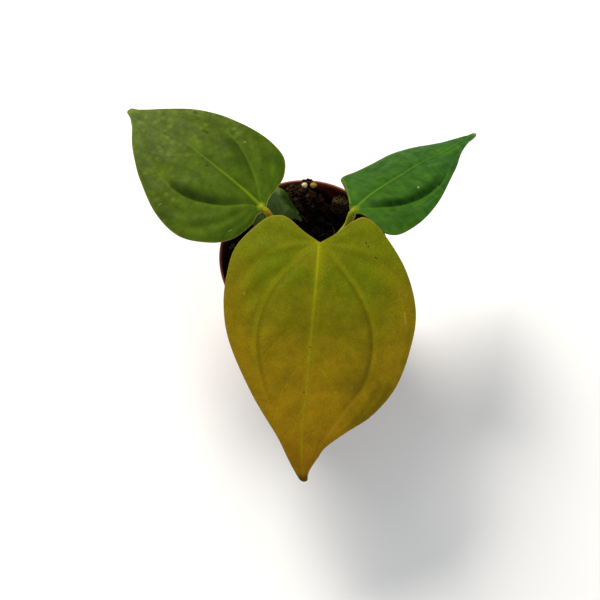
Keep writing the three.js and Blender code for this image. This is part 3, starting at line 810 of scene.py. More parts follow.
def mottling(node, look, blade, colour, uneven, core):
    """Lighter and darker mottling of about 2.6 mm, and soft round dots about 2 mm wide, mostly towards the
    tip and the margin. Gives the colour and the mottling itself."""
    mottle = node("TexNoise", None, {
        "Vector": blade["flat_mm"], "Scale": 1 / 2.6, "Detail": 4, "Roughness": 0.65})
    for begins, full, shade in ((0.52, 0.72, "pale"), (0.5, 0.3, "dark")):
        share = node("MapRange", SMOOTH, (mottle, begins, full, 0, look["mottle"]))
        colour = node("Mix", RGBA, (share, colour, linear(look[shade])))
    cells = node("TexVoronoi", None, {"Vector": blade["flat_mm"], "Scale": 1 / 2.7})
    dot = node("MapRange", SMOOTH, (cells, 0.62, 0.05, 0, look["dots"]))
    number = node("SeparateColor", None, (cells.outputs["Color"],))
    chosen = node("MapRange", SMOOTH, (number, 0.1, 0.5))
    outer_part = node("Math", TIMES_PLUS, (core, -0.35, uneven))
    where = node("MapRange", SMOOTH, (outer_part, 0.03, 0.33))
    dot = node("Math", TIMES, (node("Math", TIMES, (dot, chosen)), where))
    return node("Mix", RGBA, (dot, colour, linear(look["dot"]))), mottle


def fine_veins(node, look, blade, colour):
    """Side veins, plain only in the middle of the blade's outer half, and the net of 2.4 mm between them.
    Gives the colour and the veins themselves."""
    flat = blade["flat_mm"]
    wander = node("TexNoise", None, {"Vector": flat, "Scale": 1 / 9, "Detail": 2})
    drift = node("Math", TIMES_PLUS, (wander, 0.35, blade["phase"]))
    off = node("Math", MINUS, (node("Math", FRACTION, (drift,)), 0.5))
    beside = node("Math", UNSIGNED, (off,))
    side_vein = node("MapRange", SMOOTH, (beside, 0.07, 0.0))
    beyond = node("MapRange", SMOOTH, (blade["along"], 0.25, 0.5, 0.25))
    middle = node("MapRange", SMOOTH, (blade["inner_mm"], 2.5, -1.0))
    side_vein = node("Math", TIMES, (side_vein, node("Math", TIMES, (beyond, middle))))
    net = node("TexVoronoi", NET, {"Vector": flat, "Scale": 1 / 2.4})
    net = node("MapRange", SMOOTH, (net, 0.14, 0.0, 0, 0.3))
    threads = node("Math", PLUS, (net, side_vein))
    share = node("Math", TIMES, (threads, look["threads"]))
    return node("Mix", RGBA, (share, colour, linear(look["vein"]))), threads


def painted_hollow_shade(node, look, blade, colour, across, mottle):
    """Painted shade in the hollow on the midrib's side of the inner lateral vein, stronger in one half than
    in the other, and darker flanks beside the midrib."""
    inner, along = blade["inner_mm"], blade["along"]
    wide, (first, last) = look["hollow_shade_mm"], look["hollow_shade_span"]
    # Painted shade: stronger on the half that faces away from the light
    depth = node("MapRange", SMOOTH, (across, -1.0, 1.0, look["hollow_shade"][0], look["hollow_shade"][1]))
    ragged = node("MapRange", None, (mottle, 0.3, 0.6, 0.7, 1.05))
    hollow_shade = node("Math", TIMES_CLAMPED, (depth, ragged))
    for value, begins, full in ((inner, -wide, -0.3 * wide), (inner, 0.4, -0.7),
                                (along, first - 0.12, first + 0.05), (along, last + 0.22, last - 0.05)):
        share = node("MapRange", SMOOTH, (value, begins, full))
        hollow_shade = node("Math", TIMES, (hollow_shade, share))
    flank = node("MapRange", SMOOTH, (blade["midrib"], 3.2, 1.2, 0, look["flank"]))
    darker = node("Math", LARGER, (hollow_shade, flank))
    return node("Mix", RGBA, (darker, colour, linear(look["groove"])))


def main_veins(node, look, blade, colour, across):
    """A pale line on the midrib with a soft halo, a soft pale band just outside each inner lateral vein and
    a faint one on the outer, all fading towards the tip."""
    midrib, along, line_mm, band = blade["midrib"], blade["along"], look["line_mm"], look["band"]
    fade = node("MapRange", None, (along, 0.02, 0.6, 1.0, look["vein_end"]))
    line = node("MapRange", SMOOTH, (midrib, line_mm, 0.2 * line_mm))
    halo = node("MapRange", SMOOTH, (midrib, 4.0, 0.5, 0, look["halo"]))
    midribs = node("Math", TIMES, (node("Math", LARGER, (line, halo)), fade))
    off = node("Math", MINUS, (blade["inner_mm"], band * 0.5))
    lateral = node("MapRange", SMOOTH, (node("Math", UNSIGNED, (off,)), band, 0.1))
    faint = node("MapRange", SMOOTH, (blade["outer_mm"], 1.7, 0.1, 0, 0.25))
    sided = node("MapRange", SMOOTH, (across, -1.0, 1.0, look["lateral"][0], look["lateral"][1]))
    near = node("MapRange", SMOOTH, (along, 0.75, 0.02, 0.0, 1.7))
    laterals = node("Math", TIMES, (node("Math", LARGER, (lateral, faint)), near))
    laterals = node("Math", TIMES, (laterals, sided))
    veins = node("Math", LARGER, (midribs, laterals))
    veins = node("Math", TIMES_CLAMPED, (veins, look["vein_share"]))
    return node("Mix", RGBA, (veins, colour, linear(look["vein"])))


def collar_rim_and_tip(node, look, blade, colour):
    """The skin by the join has the petiole's own yellow green. The margin is a thin paler rim, plainest
    round the base, and the blunt tip is darker or paler than the rest."""
    reach = node("VectorMath", LENGTH, (blade["flat_mm"],)).outputs["Value"]
    collar = node("MapRange", SMOOTH, (reach, 2.8, 0.4, 0, 0.7))
    colour = node("Mix", RGBA, (collar, colour, linear(look["collar"])))
    rim_mm, rim_share, rim_reach = look["rim"]
    rim = node("MapRange", SMOOTH, (blade["edge_mm"], rim_mm, 0.05))
    plain = node("MapRange", SMOOTH, (reach, 1.8 * rim_reach, 0.7 * rim_reach, 0.4 * rim_share, rim_share))
    rim = node("Math", TIMES, (rim, plain))
    colour = node("Mix", RGBA, (rim, colour, linear(look["edge"])))
    end = node("MapRange", SMOOTH, (blade["along"], look["tip_from"], 0.985, 0, 0.85))
    return node("Mix", RGBA, (end, colour, linear(look["tip"])))


def painted_sparkle(node, look, blade, colour):
    """Painted sparkle: the glints of the lens-like cells as lighter specks, and fuzz of 0.6 mm. A cell is
    about 0.04 mm, too fine to show, so it is drawn at 0.5 mm. Gives the colour and the cells themselves."""
    flat = blade["flat_mm"]
    cells = node("TexVoronoi", None, {"Vector": flat, "Scale": 1 / 0.5})
    lens = node("MapRange", SMOOTH, (cells, 0.5, 0.15))
    number = node("SeparateColor", None, (cells.outputs["Color"],))
    # Painted glint on a few of the cells
    painted_glint = node("MapRange", SMOOTH, (number, 0.7, 0.95, 0, look["painted_sparkle"]))
    share = node("Math", TIMES, (lens, painted_glint))
    colour = node("Mix", RGBA, (share, colour, linear(look["vein"])))
    fuzz = node("TexNoise", None, {"Vector": flat, "Scale": 1 / 0.6, "Detail": 2, "Roughness": 0.7})
    fuzz = node("MapRange", None, (fuzz, 0.25, 0.75, 1 - look["fuzz"], 1 + look["fuzz"]))
    return node("Mix", MULTIPLY, (1.0, colour, fuzz)), cells


def upper_skin(name, look):
    """Velvety upper skin of the blade. Its cells stand up like tiny lenses, so it looks matt and deep, with
    a fine painted sparkle, and the main veins show as paler lines with painted shade and darker green
    beside them."""
    material, node = start_material(f"{name} blade, velvety upper skin")
    blade = {label: measure(node, label) for label in BLADE_MEASURES}
    across = node("SeparateXYZ", None, (blade["flat_mm"],)).outputs["Y"]
    colour, uneven, core = tissue(node, look, blade)
    colour, mottle = mottling(node, look, blade, colour, uneven, core)
    colour, threads = fine_veins(node, look, blade, colour)
    colour = painted_hollow_shade(node, look, blade, colour, across, mottle)
    colour = main_veins(node, look, blade, colour, across)
    colour = collar_rim_and_tip(node, look, blade, colour)
    colour, cells = painted_sparkle(node, look, blade, colour)
    colour = add_marks(node, colour, name, look, blade["flat_mm"])

    # Relief that is finer than the mesh
    height = node("Math", TIMES_PLUS, (threads, -0.35, node("Math", TIMES, (mottle, 0.6))))
    height = node("Math", TIMES_PLUS, (cells, 0.22, height))
    bump = node("Bump", None, {"Strength": 0.5, "Distance": 0.22 * MM, "Height": height})
    gloss = node("MapRange", None, (mottle, 0, 1, look["roughness"] + 0.1, look["roughness"] - 0.1))
    finish_material(node, {
        "Base Color": colour,
        "Roughness": gloss,
        "IOR": PLANT_SKIN,
        "Specular IOR Level": look["specular"],
        "Sheen Weight": look["sheen"],
        "Sheen Roughness": 0.4,
        "Sheen Tint": linear(look["pale"]),
        "Normal": bump,
    })
    return material


def lower_skin(name, look):
    """Matt lower skin of the blade, paler and greyer than the upper one, with the veins standing out and a
    net of 1.8 mm between them."""
    material, node = start_material(f"{name} blade, matt lower skin")
    flat = measure(node, "flat_mm")
    inner = node("Math", UNSIGNED, (measure(node, "inner_mm"),))
    mottle = node("TexNoise", None, {"Vector": flat, "Scale": 1 / 5, "Detail": 4, "Roughness": 0.6})
    tone = node("MapRange", None, (mottle, 0.3, 0.7, 0.8, 1.15))
    colour = node("Mix", MULTIPLY, (1.0, linear(look["underside"]), tone))
    line = node("MapRange", SMOOTH, (measure(node, "midrib"), 1.6, 0.6, 0, 0.7))
    lateral = node("MapRange", SMOOTH, (inner, 0.9, 0.2, 0, 0.5))
    net = node("TexVoronoi", NET, {"Vector": flat, "Scale": 1 / 1.8})
    ridge = node("MapRange", SMOOTH, (net, 0.15, 0.0))
    for share in (node("Math", LARGER, (line, lateral)), node("Math", TIMES, (ridge, 0.15))):
        colour = node("Mix", RGBA, (share, colour, linear(look["vein"])))
    bump = node("Bump", None, {"Strength": 0.5, "Distance": 0.12 * MM, "Height": ridge})
    finish_material(node, {
        "Base Color": colour,
        "Roughness": 0.62,
        "IOR": PLANT_SKIN,
        "Specular IOR Level": 0.25,
        "Normal": bump,
    })
    return material


def petiole_skin(name):
    """Smooth stalk skin, a little waxy, streaked along its length and brown where it leaves the stem. Light
    soaks into its watery tissue, which softens the shade on it."""
    foot, middle, head = (linear(c) for c in (*PETIOLE_COLOURS[name], LOOKS[name]["collar"]))
    material, node = start_material(f"{name} petiole, waxy stalk skin")
    along = measure(node, "along")
    lower = node("MapRange", SMOOTH, (along, 0.05, 0.45))
    upper = node("MapRange", SMOOTH, (along, 0.84, 1.02))
    colour = node("Mix", RGBA, (lower, foot, middle))
    colour = node("Mix", RGBA, (upper, colour, head))
    # Streaks 0.4 mm wide and 6 mm long
    stretched = node("Mapping", None, {
        "Vector": measure(node, "stalk_mm"), "Scale": (1 / 0.4, 1 / 0.4, 1 / 6)})
    streaks = node("TexNoise", None, {"Vector": stretched, "Scale": 1.0, "Detail": 3})
    tone = node("MapRange", None, (streaks, 0.3, 0.7, 0.86, 1.12))
    colour = node("Mix", MULTIPLY, (1.0, colour, tone))
    bump = node("Bump", None, {"Strength": 0.2, "Distance": 0.1 * MM, "Height": streaks})
    finish_material(node, {
        "Base Color": colour,
        "Roughness": 0.45,
        "IOR": PLANT_SKIN,
        "Specular IOR Level": 0.15,
        "Subsurface Weight": 0.5,
        "Subsurface Radius": (1.0, 1.0, 0.4),
        "Subsurface Scale": 1.6 * MM,
        "Normal": bump,
    })
    return material


def moulded_plastic(colour):
    """Injection-moulded polypropylene with terracotta pigment: an even satin, brick orange outside, with
    faint flow marks, a fine moulded grain and dust at the foot. Inside, below the rim, painted shade in dark
    red, whose red also stands in for light through the thin wall, darker in patches of a wet humus film."""
    material, node = start_material("terracotta polypropylene, moulded")
    place = node("TexCoord").outputs["Object"]
    heights = node("SeparateXYZ", None, (place,)).outputs["Z"]
    # Flow marks 5 mm wide that run up the wall, and clouds of 12 mm in the pigment
    flow = node("Mapping", None, {"Vector": place, "Scale": (1 / (5 * MM), 1 / (5 * MM), 1 / (40 * MM))})
    flow = node("TexNoise", None, {"Vector": flow, "Scale": 1.0, "Detail": 2})
    clouds = node("TexNoise", None, {"Vector": place, "Scale": 1 / (12 * MM), "Detail": 4})
    tone = node("MapRange", None, (node("Math", PLUS, (flow, clouds)), 0.7, 1.3, 0.86, 1.12))
    shell = node("Mix", MULTIPLY, (1.0, (*colour, 1.0), tone))
    # Pale lime and dust where water has run and dried, most in the lowest 12 mm
    low = node("MapRange", SMOOTH, (heights, 12 * MM, 0))
    crust = node("TexNoise", None, {"Vector": place, "Scale": 1 / (3 * MM), "Detail": 6, "Roughness": 0.7})
    crust = node("Math", TIMES_PLUS, (low, 0.12, crust))
    crust = node("MapRange", SMOOTH, (crust, 0.58, 0.78, 0, 0.5))
    shell = node("Mix", RGBA, (crust, shell, linear("#b79a84")))
    # The film of humus comes in patches of 6 mm, and the moulded grain is 0.6 mm
    film = node("TexNoise", None, {"Vector": place, "Scale": 1 / (6 * MM), "Detail": 5, "Roughness": 0.65})
    # Painted shade inside the wall: at least half the darkest red everywhere, more in the film's patches;
    # the red also stands in for light through the thin wall
    humus_film_and_shade = node("MapRange", SMOOTH, (film, 0.42, 0.58, 0.5))
    painted_inner_shade = node("Mix", RGBA, (humus_film_and_shade, linear("#7a2409"), linear("#2e0804")))
    colours = node("Mix", RGBA, (measure(node, "inside"), shell, painted_inner_shade))
    grain = node("TexNoise", None, {"Vector": place, "Scale": 1 / (0.6 * MM), "Detail": 2})
    height = node("Math", TIMES_PLUS, (crust, 0.8, grain))
    bump = node("Bump", None, {"Strength": 0.35, "Distance": 0.08 * MM, "Height": height})
    dull = node("MapRange", None, (crust, 0, 1, 0.5, 0.8))
    finish_material(node, {
        "Base Color": colours,
        "Roughness": dull,
        "IOR": POLYPROPYLENE,
        "Specular IOR Level": 0.4,
        "Normal": bump,
    })
    return material


def humus(colour):
    """Damp bark humus in crumbs of 1.1 mm, nearly black below about 54 mm: damp there, and also painted
    shade of the sunken soil; with a few paler grains where it is heaped and dries."""
    material, node = start_material("bark humus, damp crumbs")
    place = node("TexCoord").outputs["Object"]
    heights = node("SeparateXYZ", None, (place,)).outputs["Z"]
    crumbs = node("TexVoronoi", None, {"Vector": place, "Scale": 1 / (1.1 * MM)})
    fine = node("TexNoise", None, {"Vector": place, "Scale": 1 / (1.6 * MM), "Detail": 5, "Roughness": 0.7})
    share = node("MapRange", SMOOTH, (fine, 0.45, 0.75))
    # Darker below 62 mm and darkest below 54 mm, as damp soil and as painted shade of the sunken soil
    dry = node("MapRange", SMOOTH, (heights, 54 * MM, 62 * MM, 0.03))
    share = node("Math", TIMES, (share, dry))
    shade = node("Mix", RGBA, (share, (*(c * 0.07 for c in colour), 1.0), (*colour, 1.0)))
    number = node("SeparateColor", None, (crumbs.outputs["Color"],))
    pale = node("MapRange", SMOOTH, (number, 0.93, 0.99, 0, 0.5))
    pale = node("Math", TIMES, (pale, dry))
    shade = node("Mix", RGBA, (pale, shade, linear("#5e4a34")))
    height = node("Math", MINUS, (fine, crumbs))
    bump = node("Bump", None, {"Strength": 0.9, "Distance": 0.6 * MM, "Height": height})
    finish_material(node, {
        "Base Color": shade,
        "Roughness": 0.85,
        "IOR": DRY_MATTER,
        "Specular IOR Level": 0.05,
        "Normal": bump,
    })
    return material


def bark(dark, light):
    """Composted pine bark, broken into chips: brown, fibrous along its length, darker where damp, and lower
    in the pot also with painted shade.
    """
    material, node = start_material("pine bark chips, composted")
    # Growth layers about 0.5 mm apart, drawn out along the chip
    grain = measure(node, "grain_mm")
    layers = node("Mapping", None, {"Vector": grain, "Scale": (1 / 5, 1 / 0.5, 1 / 0.5)})
    layers = node("TexNoise", None, {"Vector": layers, "Scale": 1.0, "Detail": 5, "Roughness": 0.65})
    share = node("MapRange", SMOOTH, (layers, 0.3, 0.7, 0.35))
    share = node("Math", TIMES, (share, measure(node, "tone")))
    colour = node("Mix", RGBA, (share, (*dark, 1.0), (*light, 1.0)))
    bump = node("Bump", None, {"Strength": 0.9, "Distance": 0.4 * MM, "Height": layers})
    finish_material(node, {
        "Base Color": colour,
        "Roughness": 0.8,
        "IOR": DRY_MATTER,
        "Specular IOR Level": 0.08,
        "Normal": bump,
    })
    return material


def plain_growth(name, dark, light, size_mm, roughness):
    """Small plant parts and grains in two shades, such as fibres, moss and dry scales. Matt, with the
    lighter shade in patches of the given size."""
    material, node = start_material(name)
    place = node("TexCoord").outputs["Object"]
    clouds = node("TexNoise", None, {
        "Vector": place, "Scale": 1 / (size_mm * MM), "Detail": 4, "Roughness": 0.6})
    share = node("MapRange", SMOOTH, (clouds, 0.35, 0.65))
    colour = node("Mix", RGBA, (share, linear(dark), linear(light)))
    bump = node("Bump", None, {"Strength": 0.6, "Distance": 0.15 * MM, "Height": clouds})
    finish_material(node, {
        "Base Color": colour,
        "Roughness": roughness,
        "IOR": DRY_MATTER,
        "Specular IOR Level": 0.2,
        "Normal": bump,
    })
    return material




# Pot


def inner_radius(z):
    """Radius of the inside of the pot's wall below the lip."""
    outer = mix(POT["base_radius"], RIM_RADIUS - POT["lip_step"], z / (POT_TOP - POT["lip_height"]))
    return outer - POT["wall"]


def softened(profile, steps=4):
    """A line of (radius, height, softness) points whose corners are rounded, softness long on each side."""
    points = [profile[0][:2]]
    for (ax, az, _), (bx, bz, soft), (cx, cz, _) in zip(profile, profile[1:], profile[2:]):
        corner = np.array((bx, bz), float)
        back, on = np.array((ax, az)) - corner, np.array((cx, cz)) - corner
        reach = min(soft, 0.45 * np.linalg.norm(back), 0.45 * np.linalg.norm(on))
        start = corner + back / np.linalg.norm(back) * reach
        end = corner + on / np.linalg.norm(on) * reach
        for t in np.linspace(0, 1, steps):
            points.append(tuple((1 - t) ** 2 * start + 2 * t * (1 - t) * corner + t * t * end))
    points.append(profile[-1][:2])
    return points


def refined(profile, longest):
    """The same line with no stretch longer than given, so that the wall has rings of its own."""
    points = [profile[0]]
    for a, b in zip(profile, profile[1:]):
        parts = max(1, math.ceil(math.dist(a, b) / longest))
        points.extend(tuple(mix(np.array(a), np.array(b), k / parts)) for k in range(1, parts + 1))
    return points


def turned(profile, sectors):
    """A closed body turned about Z from a line that starts and ends on the axis."""
    turn = np.linspace(0, 2 * math.pi, sectors, endpoint=False)
    rings = [np.column_stack([r * np.cos(turn), r * np.sin(turn), np.full(sectors, z)])
             for r, z in profile[1:-1]]
    return capped_rings(rings, (0, 0, profile[0][1]), (0, 0, profile[-1][1]))


def pot_profile():
    """Half of the pot's section as (radius, height, softness), from the middle of its underside up round the
    wall to the middle of its floor."""
    lip_foot = POT_TOP - POT["lip_height"]
    wall, floor = POT["wall"], POT["floor_top"]
    lip_inside = RIM_RADIUS - wall
    return [
        (0, 0.35, 0),
        (POT["gate_mark"], 0.35, 0.2),
        (POT["gate_mark"] + 0.3, 0, 0.15),
        (POT["centre_disc"], 0, 0.3),
        (POT["centre_disc"] + 0.3, POT["channel_depth"], 0.4),
        (POT["foot_ring_inner"] - 0.3, POT["channel_depth"], 0.4),
        (POT["foot_ring_inner"], 0, 0.3),
        (POT["base_radius"] - 0.4, 0, 0.9),
        (POT["base_radius"] + 0.1, 1, 0.6),
        (RIM_RADIUS - POT["lip_step"], lip_foot - POT["lip_step"], 0.35),
        (RIM_RADIUS - POT["lip_draft"], lip_foot, 0.35),
        (RIM_RADIUS, POT_TOP - 0.5, 0.3),
        (RIM_RADIUS - 0.15, POT_TOP, 0.3),
        (lip_inside + 0.15, POT_TOP, 0.3),
        (lip_inside, POT_TOP - 0.5, 0.3),
        (lip_inside - POT["lip_draft"], lip_foot + wall, 0.5),
        (inner_radius(lip_foot), lip_foot - 0.3, 0.5),
        (inner_radius(floor + 1), floor + 1, 0.8),
        (inner_radius(floor) - 1, floor, 0.8),
        (0, floor, 0),
    ]


def drilled(piece):
    """The piece's mesh with the drain holes cut through its floor."""
    height = 2 * POT["floor_top"]
    profile = [(0, -height), (DRAIN["radius"], -height), (DRAIN["radius"], height), (0, height)]
    post, post_faces = turned(profile, DRAIN["sides"])
    posts = []
    for i in range(DRAIN["count"]):
        turn = 2 * math.pi * i / DRAIN["count"]
        x, y = DRAIN["ring_radius"] * math.cos(turn), DRAIN["ring_radius"] * math.sin(turn)
        posts.append((post + (x, y, 0), post_faces))
    points, faces, _ = joined(posts)
    mesh = bpy.data.meshes.new("drain_cut")
    mesh.from_pydata((points * MM).tolist(), [], faces)
    cutter = bpy.data.objects.new("drain_cut", mesh)
    bpy.context.scene.collection.objects.link(cutter)
    modifier = piece.modifiers.new("drain", "BOOLEAN")
    modifier.object = cutter
    modifier.operation = "DIFFERENCE"
    modifier.solver = "EXACT"
    cut = bpy.data.meshes.new_from_object(piece.evaluated_get(bpy.context.evaluated_depsgraph_get()))
    piece.modifiers.clear()
    bpy.data.objects.remove(cutter)
    return cut


def build_pot(settings):
    """The moulded pot with its drain holes. Its mesh tells the plastic where the painted shade on the
    inside of the wall lies.
    """
    points, faces = turned(refined(softened(pot_profile()), POT["ring_gap"]), POT["sectors"])
    piece = add_piece("pot_shell", points, faces, [moulded_plastic(settings.wall_colour)], "pot_plastic",
                      ["pot"])
    cut = drilled(piece)
    piece.data = cut
    places = np.zeros(len(cut.vertices) * 3)
    cut.vertices.foreach_get("co", places)
    x, y, z = places.reshape(-1, 3).T / MM
    # A line about halfway through the wall, from its foot to the lip's top
    lip_foot = POT_TOP - POT["lip_height"]
    middle = np.interp(z, [0, lip_foot, lip_foot + 1, POT_TOP],
                       [POT["base_radius"] - 0.5, RIM_RADIUS - POT["lip_step"] - 0.5, RIM_RADIUS - 0.9,
                        RIM_RADIUS - 0.5])
    inside = (np.hypot(x, y) < middle) & (z > POT["floor_top"] - 0.1)
    # Painted shade on the inside of the wall, from 0.5 mm below the rim and full 2.8 mm below it
    shaded = np.where(inside, ease(POT_TOP - z, 0.5, 2.8), 0)
    attribute = cut.attributes.new("inside", "FLOAT", "POINT")
    attribute.data.foreach_set("value", shaded.astype(np.float32))
    cut.set_sharp_from_angle(angle=math.radians(40))


# Substrate


def soil_height(x, y):
    """Height of the substrate's surface, as in the frame."""
    height = np.full(np.shape(x), SOIL_LEVEL, float)
    for mound_x, mound_y, rise, spread in MOUNDS:
        height += rise * np.exp(-((x - mound_x) ** 2 + (y - mound_y) ** 2) / (2 * spread ** 2))
    across = np.sin(2 * math.pi * x / RIPPLE["length_x"])
    along = np.sin(2 * math.pi * y / RIPPLE["length_y"])
    return height + RIPPLE["height"] * across * along


def wall_limit(z):
    """Furthest radius that the substrate may reach at a height."""
    return np.minimum(inner_radius(z), RIM_RADIUS - POT["wall"] - POT["lip_draft"]) - GAP


def soil_body():
    """The filled mass: floor, side along the wall, crumbly top, and the plain hole that the stem stands
    in."""
    sectors, bevel = SOIL_MESH["sectors"], SOIL_MESH["bevel"]
    floor_rings, side_rings, top_rings = SOIL_MESH["floor"], SOIL_MESH["side"], SOIL_MESH["top"]
    turn = np.linspace(0, 2 * math.pi, sectors, endpoint=False)
    circle = np.column_stack([np.cos(turn), np.sin(turn)])
    floor = POT["floor_top"] + GAP
    hole = STEM["radius"] + GAP
    base = circle * (wall_limit(floor) - bevel)
    stack = [np.column_stack([base * k / floor_rings, np.full(sectors, floor)])
             for k in range(1, floor_rings + 1)]
    top = soil_height(*(circle * wall_limit(SOIL_LEVEL)).T)
    for k in range(side_rings + 1):
        z = mix(floor + bevel, top, k / side_rings)
        stack.append(np.column_stack([circle * wall_limit(z)[:, None], z]))
    outer = stack[-1][:, :2]
    centre = np.array((STEM["x"], STEM["y"]))
    for k in range(1, top_rings + 1):
        place = mix(outer, centre + circle * hole, k / top_rings)
        fine = np.column_stack([place, np.zeros(sectors)])
        swell = 0.55 * rough(fine, 4.2, 3.1, 2) + 0.5 * rough(fine, 1.6, 8.7, 2)
        swell *= ease(k, 0, 6)
        stack.append(np.column_stack([place, soil_height(*place.T) + swell]))
    for z in (SOIL_LEVEL - 4, STEM["foot"] - GAP):
        stack.append(np.column_stack([centre + circle * hole, np.full(sectors, z)]))
    return capped_rings(stack, (0, 0, floor), (*centre, STEM["foot"] - GAP))


def block(cells, size, draw, grain_seed, fray):
    """A rounded block with fibrous sides and broken ends. Gives the place of each point in its grain, and
    the faces."""
    index, points, faces = {}, [], []

    def corner(key):
        if key not in index:
            index[key] = len(points)
            points.append([2 * step / count - 1 for step, count in zip(key, cells)])
        return index[key]

    for fixed in range(3):
        first, second = (fixed + 1) % 3, (fixed + 2) % 3
        for i in range(cells[first]):
            for j in range(cells[second]):
                for end, ways in ((0, ((0, 0), (0, 1), (1, 1), (1, 0))),
                                  (cells[fixed], ((0, 0), (1, 0), (1, 1), (0, 1)))):
                    face = []
                    for more_i, more_j in ways:
                        key = [end] * 3
                        key[first], key[second] = i + more_i, j + more_j
                        face.append(corner(tuple(key)))
                    faces.append(tuple(face))
    cube = np.array(points)
    ball = cube / np.linalg.norm(cube, axis=1)[:, None]
    body = mix(cube, ball * 1.15, 0.38) * np.array(size) / 2
    taper = mix(0.75, 1.1, draw())
    body[:, 1] *= mix(1.0, taper, (cube[:, 0] + 1) / 2)
    body[:, 2] *= mix(taper, 1.0, (cube[:, 0] + 1) / 2)
    body[:, 1] += fray * rough(body, (4.0, 0.7, 0.7), grain_seed)
    body[:, 2] += fray * rough(body, (4.0, 0.8, 0.8), grain_seed + 5)
    body[:, 0] += 1.6 * fray * np.sign(cube[:, 0]) * rough(body, (9.0, 0.6, 0.6), grain_seed + 9)
    return body, faces


def tilted(points, turns, place):
    """Points turned about X, then Y, then Z, and moved."""
    a, b, c = turns
    about_x = np.array([[1, 0, 0], [0, math.cos(a), -math.sin(a)], [0, math.sin(a), math.cos(a)]])
    about_y = np.array([[math.cos(b), 0, math.sin(b)], [0, 1, 0], [-math.sin(b), 0, math.cos(b)]])
    about_z = np.array([[math.cos(c), -math.sin(c), 0], [math.sin(c), math.cos(c), 0], [0, 0, 1]])
    return points @ (about_z @ about_y @ about_x).T + np.asarray(place)


def frame_chips():
    """Place, size and turns of each chip of the frame."""
    draw = random_from(CHIPS["seed"])
    outermost = inner_radius(SOIL_LEVEL) - CHIPS["clear_of_wall"]
    leaf_x, leaf_y, leaf_radius = CHIPS["clear_of_leaf"]
    chips = []
    while len(chips) < CHIPS["count"]:
        angle = draw() * 2 * math.pi
        radius = mix(CHIPS["clear_of_stem"], outermost, math.sqrt(draw()))
        x, y = radius * math.cos(angle), radius * math.sin(angle)
        size = [mix(*CHIPS[way], draw()) for way in ("long", "broad", "thick")]
        for _ in range(CHIPS["corner_draws"]):
            draw()
        turns = [mix(-CHIPS["tilt"], CHIPS["tilt"], draw()) for _ in range(2)]
        turns.append(draw() * math.pi)
        if math.hypot(x - leaf_x, y - leaf_y) > leaf_radius:
            chips.append(((x, y, float(soil_height(x, y))), size, turns))
    return chips


def loose_place(draw, margin):
    """A place on the substrate clear of the stem and the wall."""
    radius = mix(STEM["radius"] + margin, inner_radius(SOIL_LEVEL) - margin, math.sqrt(draw()))
    angle = draw() * 2 * math.pi
    x, y = radius * math.cos(angle), radius * math.sin(angle)
    return x, y, float(soil_height(x, y))


def near_place(draw, centre_x, centre_y, spread):
    """A place within the spread of a centre, with its distance and direction from there."""
    radius, angle = spread * math.sqrt(draw()), draw() * 2 * math.pi
    return centre_x + radius * math.cos(angle), centre_y + radius * math.sin(angle), radius, angle


def ground(x, y):
    """Height that a crumb or a moss shoot stands on: the soil, the mossy heap or, where the soil is heaped,
    the pot's rim. None where there is no room."""
    reach, soil = math.hypot(x, y), float(soil_height(x, y))
    heap_x, heap_y = HEAP["at"]
    if reach > wall_limit(POT_TOP) - 0.5:
        on_rim = RIM_RADIUS - POT["wall"] + 0.2 < reach < RIM_RADIUS - 0.3
        return POT_TOP if on_rim and soil > POT_TOP - 3 else None
    if math.hypot(x - heap_x, y - heap_y) < HEAP["flat_top"]:
        return HEAP["top"]
    return soil if reach < wall_limit(soil) - 0.9 else None


def bark_piece(draw, kind, size, turns, place, dry=None):
    """Points, faces, places in the grain and dryness of one piece. One inside the wall stays inside it, and
    one with no dryness of its own is drier and paler the higher it lies; its darkness lower down is also
    painted shade."""
    seed = draw() * 90
    body, faces = block(BARK[kind]["cells"], size, draw, seed, BARK[kind]["fray"])
    points = tilted(body, turns, place)
    reach = np.hypot(points[:, 0], points[:, 1])
    limit = wall_limit(np.minimum(points[:, 2], POT_TOP))
    if math.hypot(place[0], place[1]) < wall_limit(min(place[2], POT_TOP)):
        points[:, :2] *= np.minimum(1, limit / np.maximum(reach, GAP))[:, None]
    tone = draw() * ease(place[2], DAMP_AND_SHADED_BELOW, DRY_AND_PALE_ABOVE) if dry is None else dry
    return points, faces, body + seed, np.full(len(body), tone)


def size_of(draw, kind, power=1):
    """A random size for a kind of piece, smaller on the whole for a higher power."""
    return [mix(*span, draw() ** power) for span in BARK[kind]["sizes"]]


def any_turns(draw):
    """Turns about X, Y and Z of up to half a circle each."""
    return [draw() * math.pi for _ in range(3)]


def spread_pieces(draw, settings):
    """The frame's chips in finer form, and smaller ones and crumbs all over the substrate."""
    for place, size, turns in frame_chips():
        yield bark_piece(draw, "chip", [BARK["chip"]["share_of_frame"] * way for way in size], turns, place)
    for _ in range(settings.small_chips):
        size = size_of(draw, "small")
        x, y, z = loose_place(draw, BARK["small"]["clear"])
        turns = (mix(-0.5, 0.5, draw()), mix(-0.5, 0.5, draw()), draw() * math.pi)
        yield bark_piece(draw, "small", size, turns, (x, y, z + BARK["small"]["lift"]))
    for _ in range(settings.crumbs):
        size = size_of(draw, "crumb")
        x, y, z = loose_place(draw, BARK["crumb"]["clear"])
        turns = any_turns(draw)
        yield bark_piece(draw, "crumb", size, turns, (x, y, z + BARK["crumb"]["lift"]))


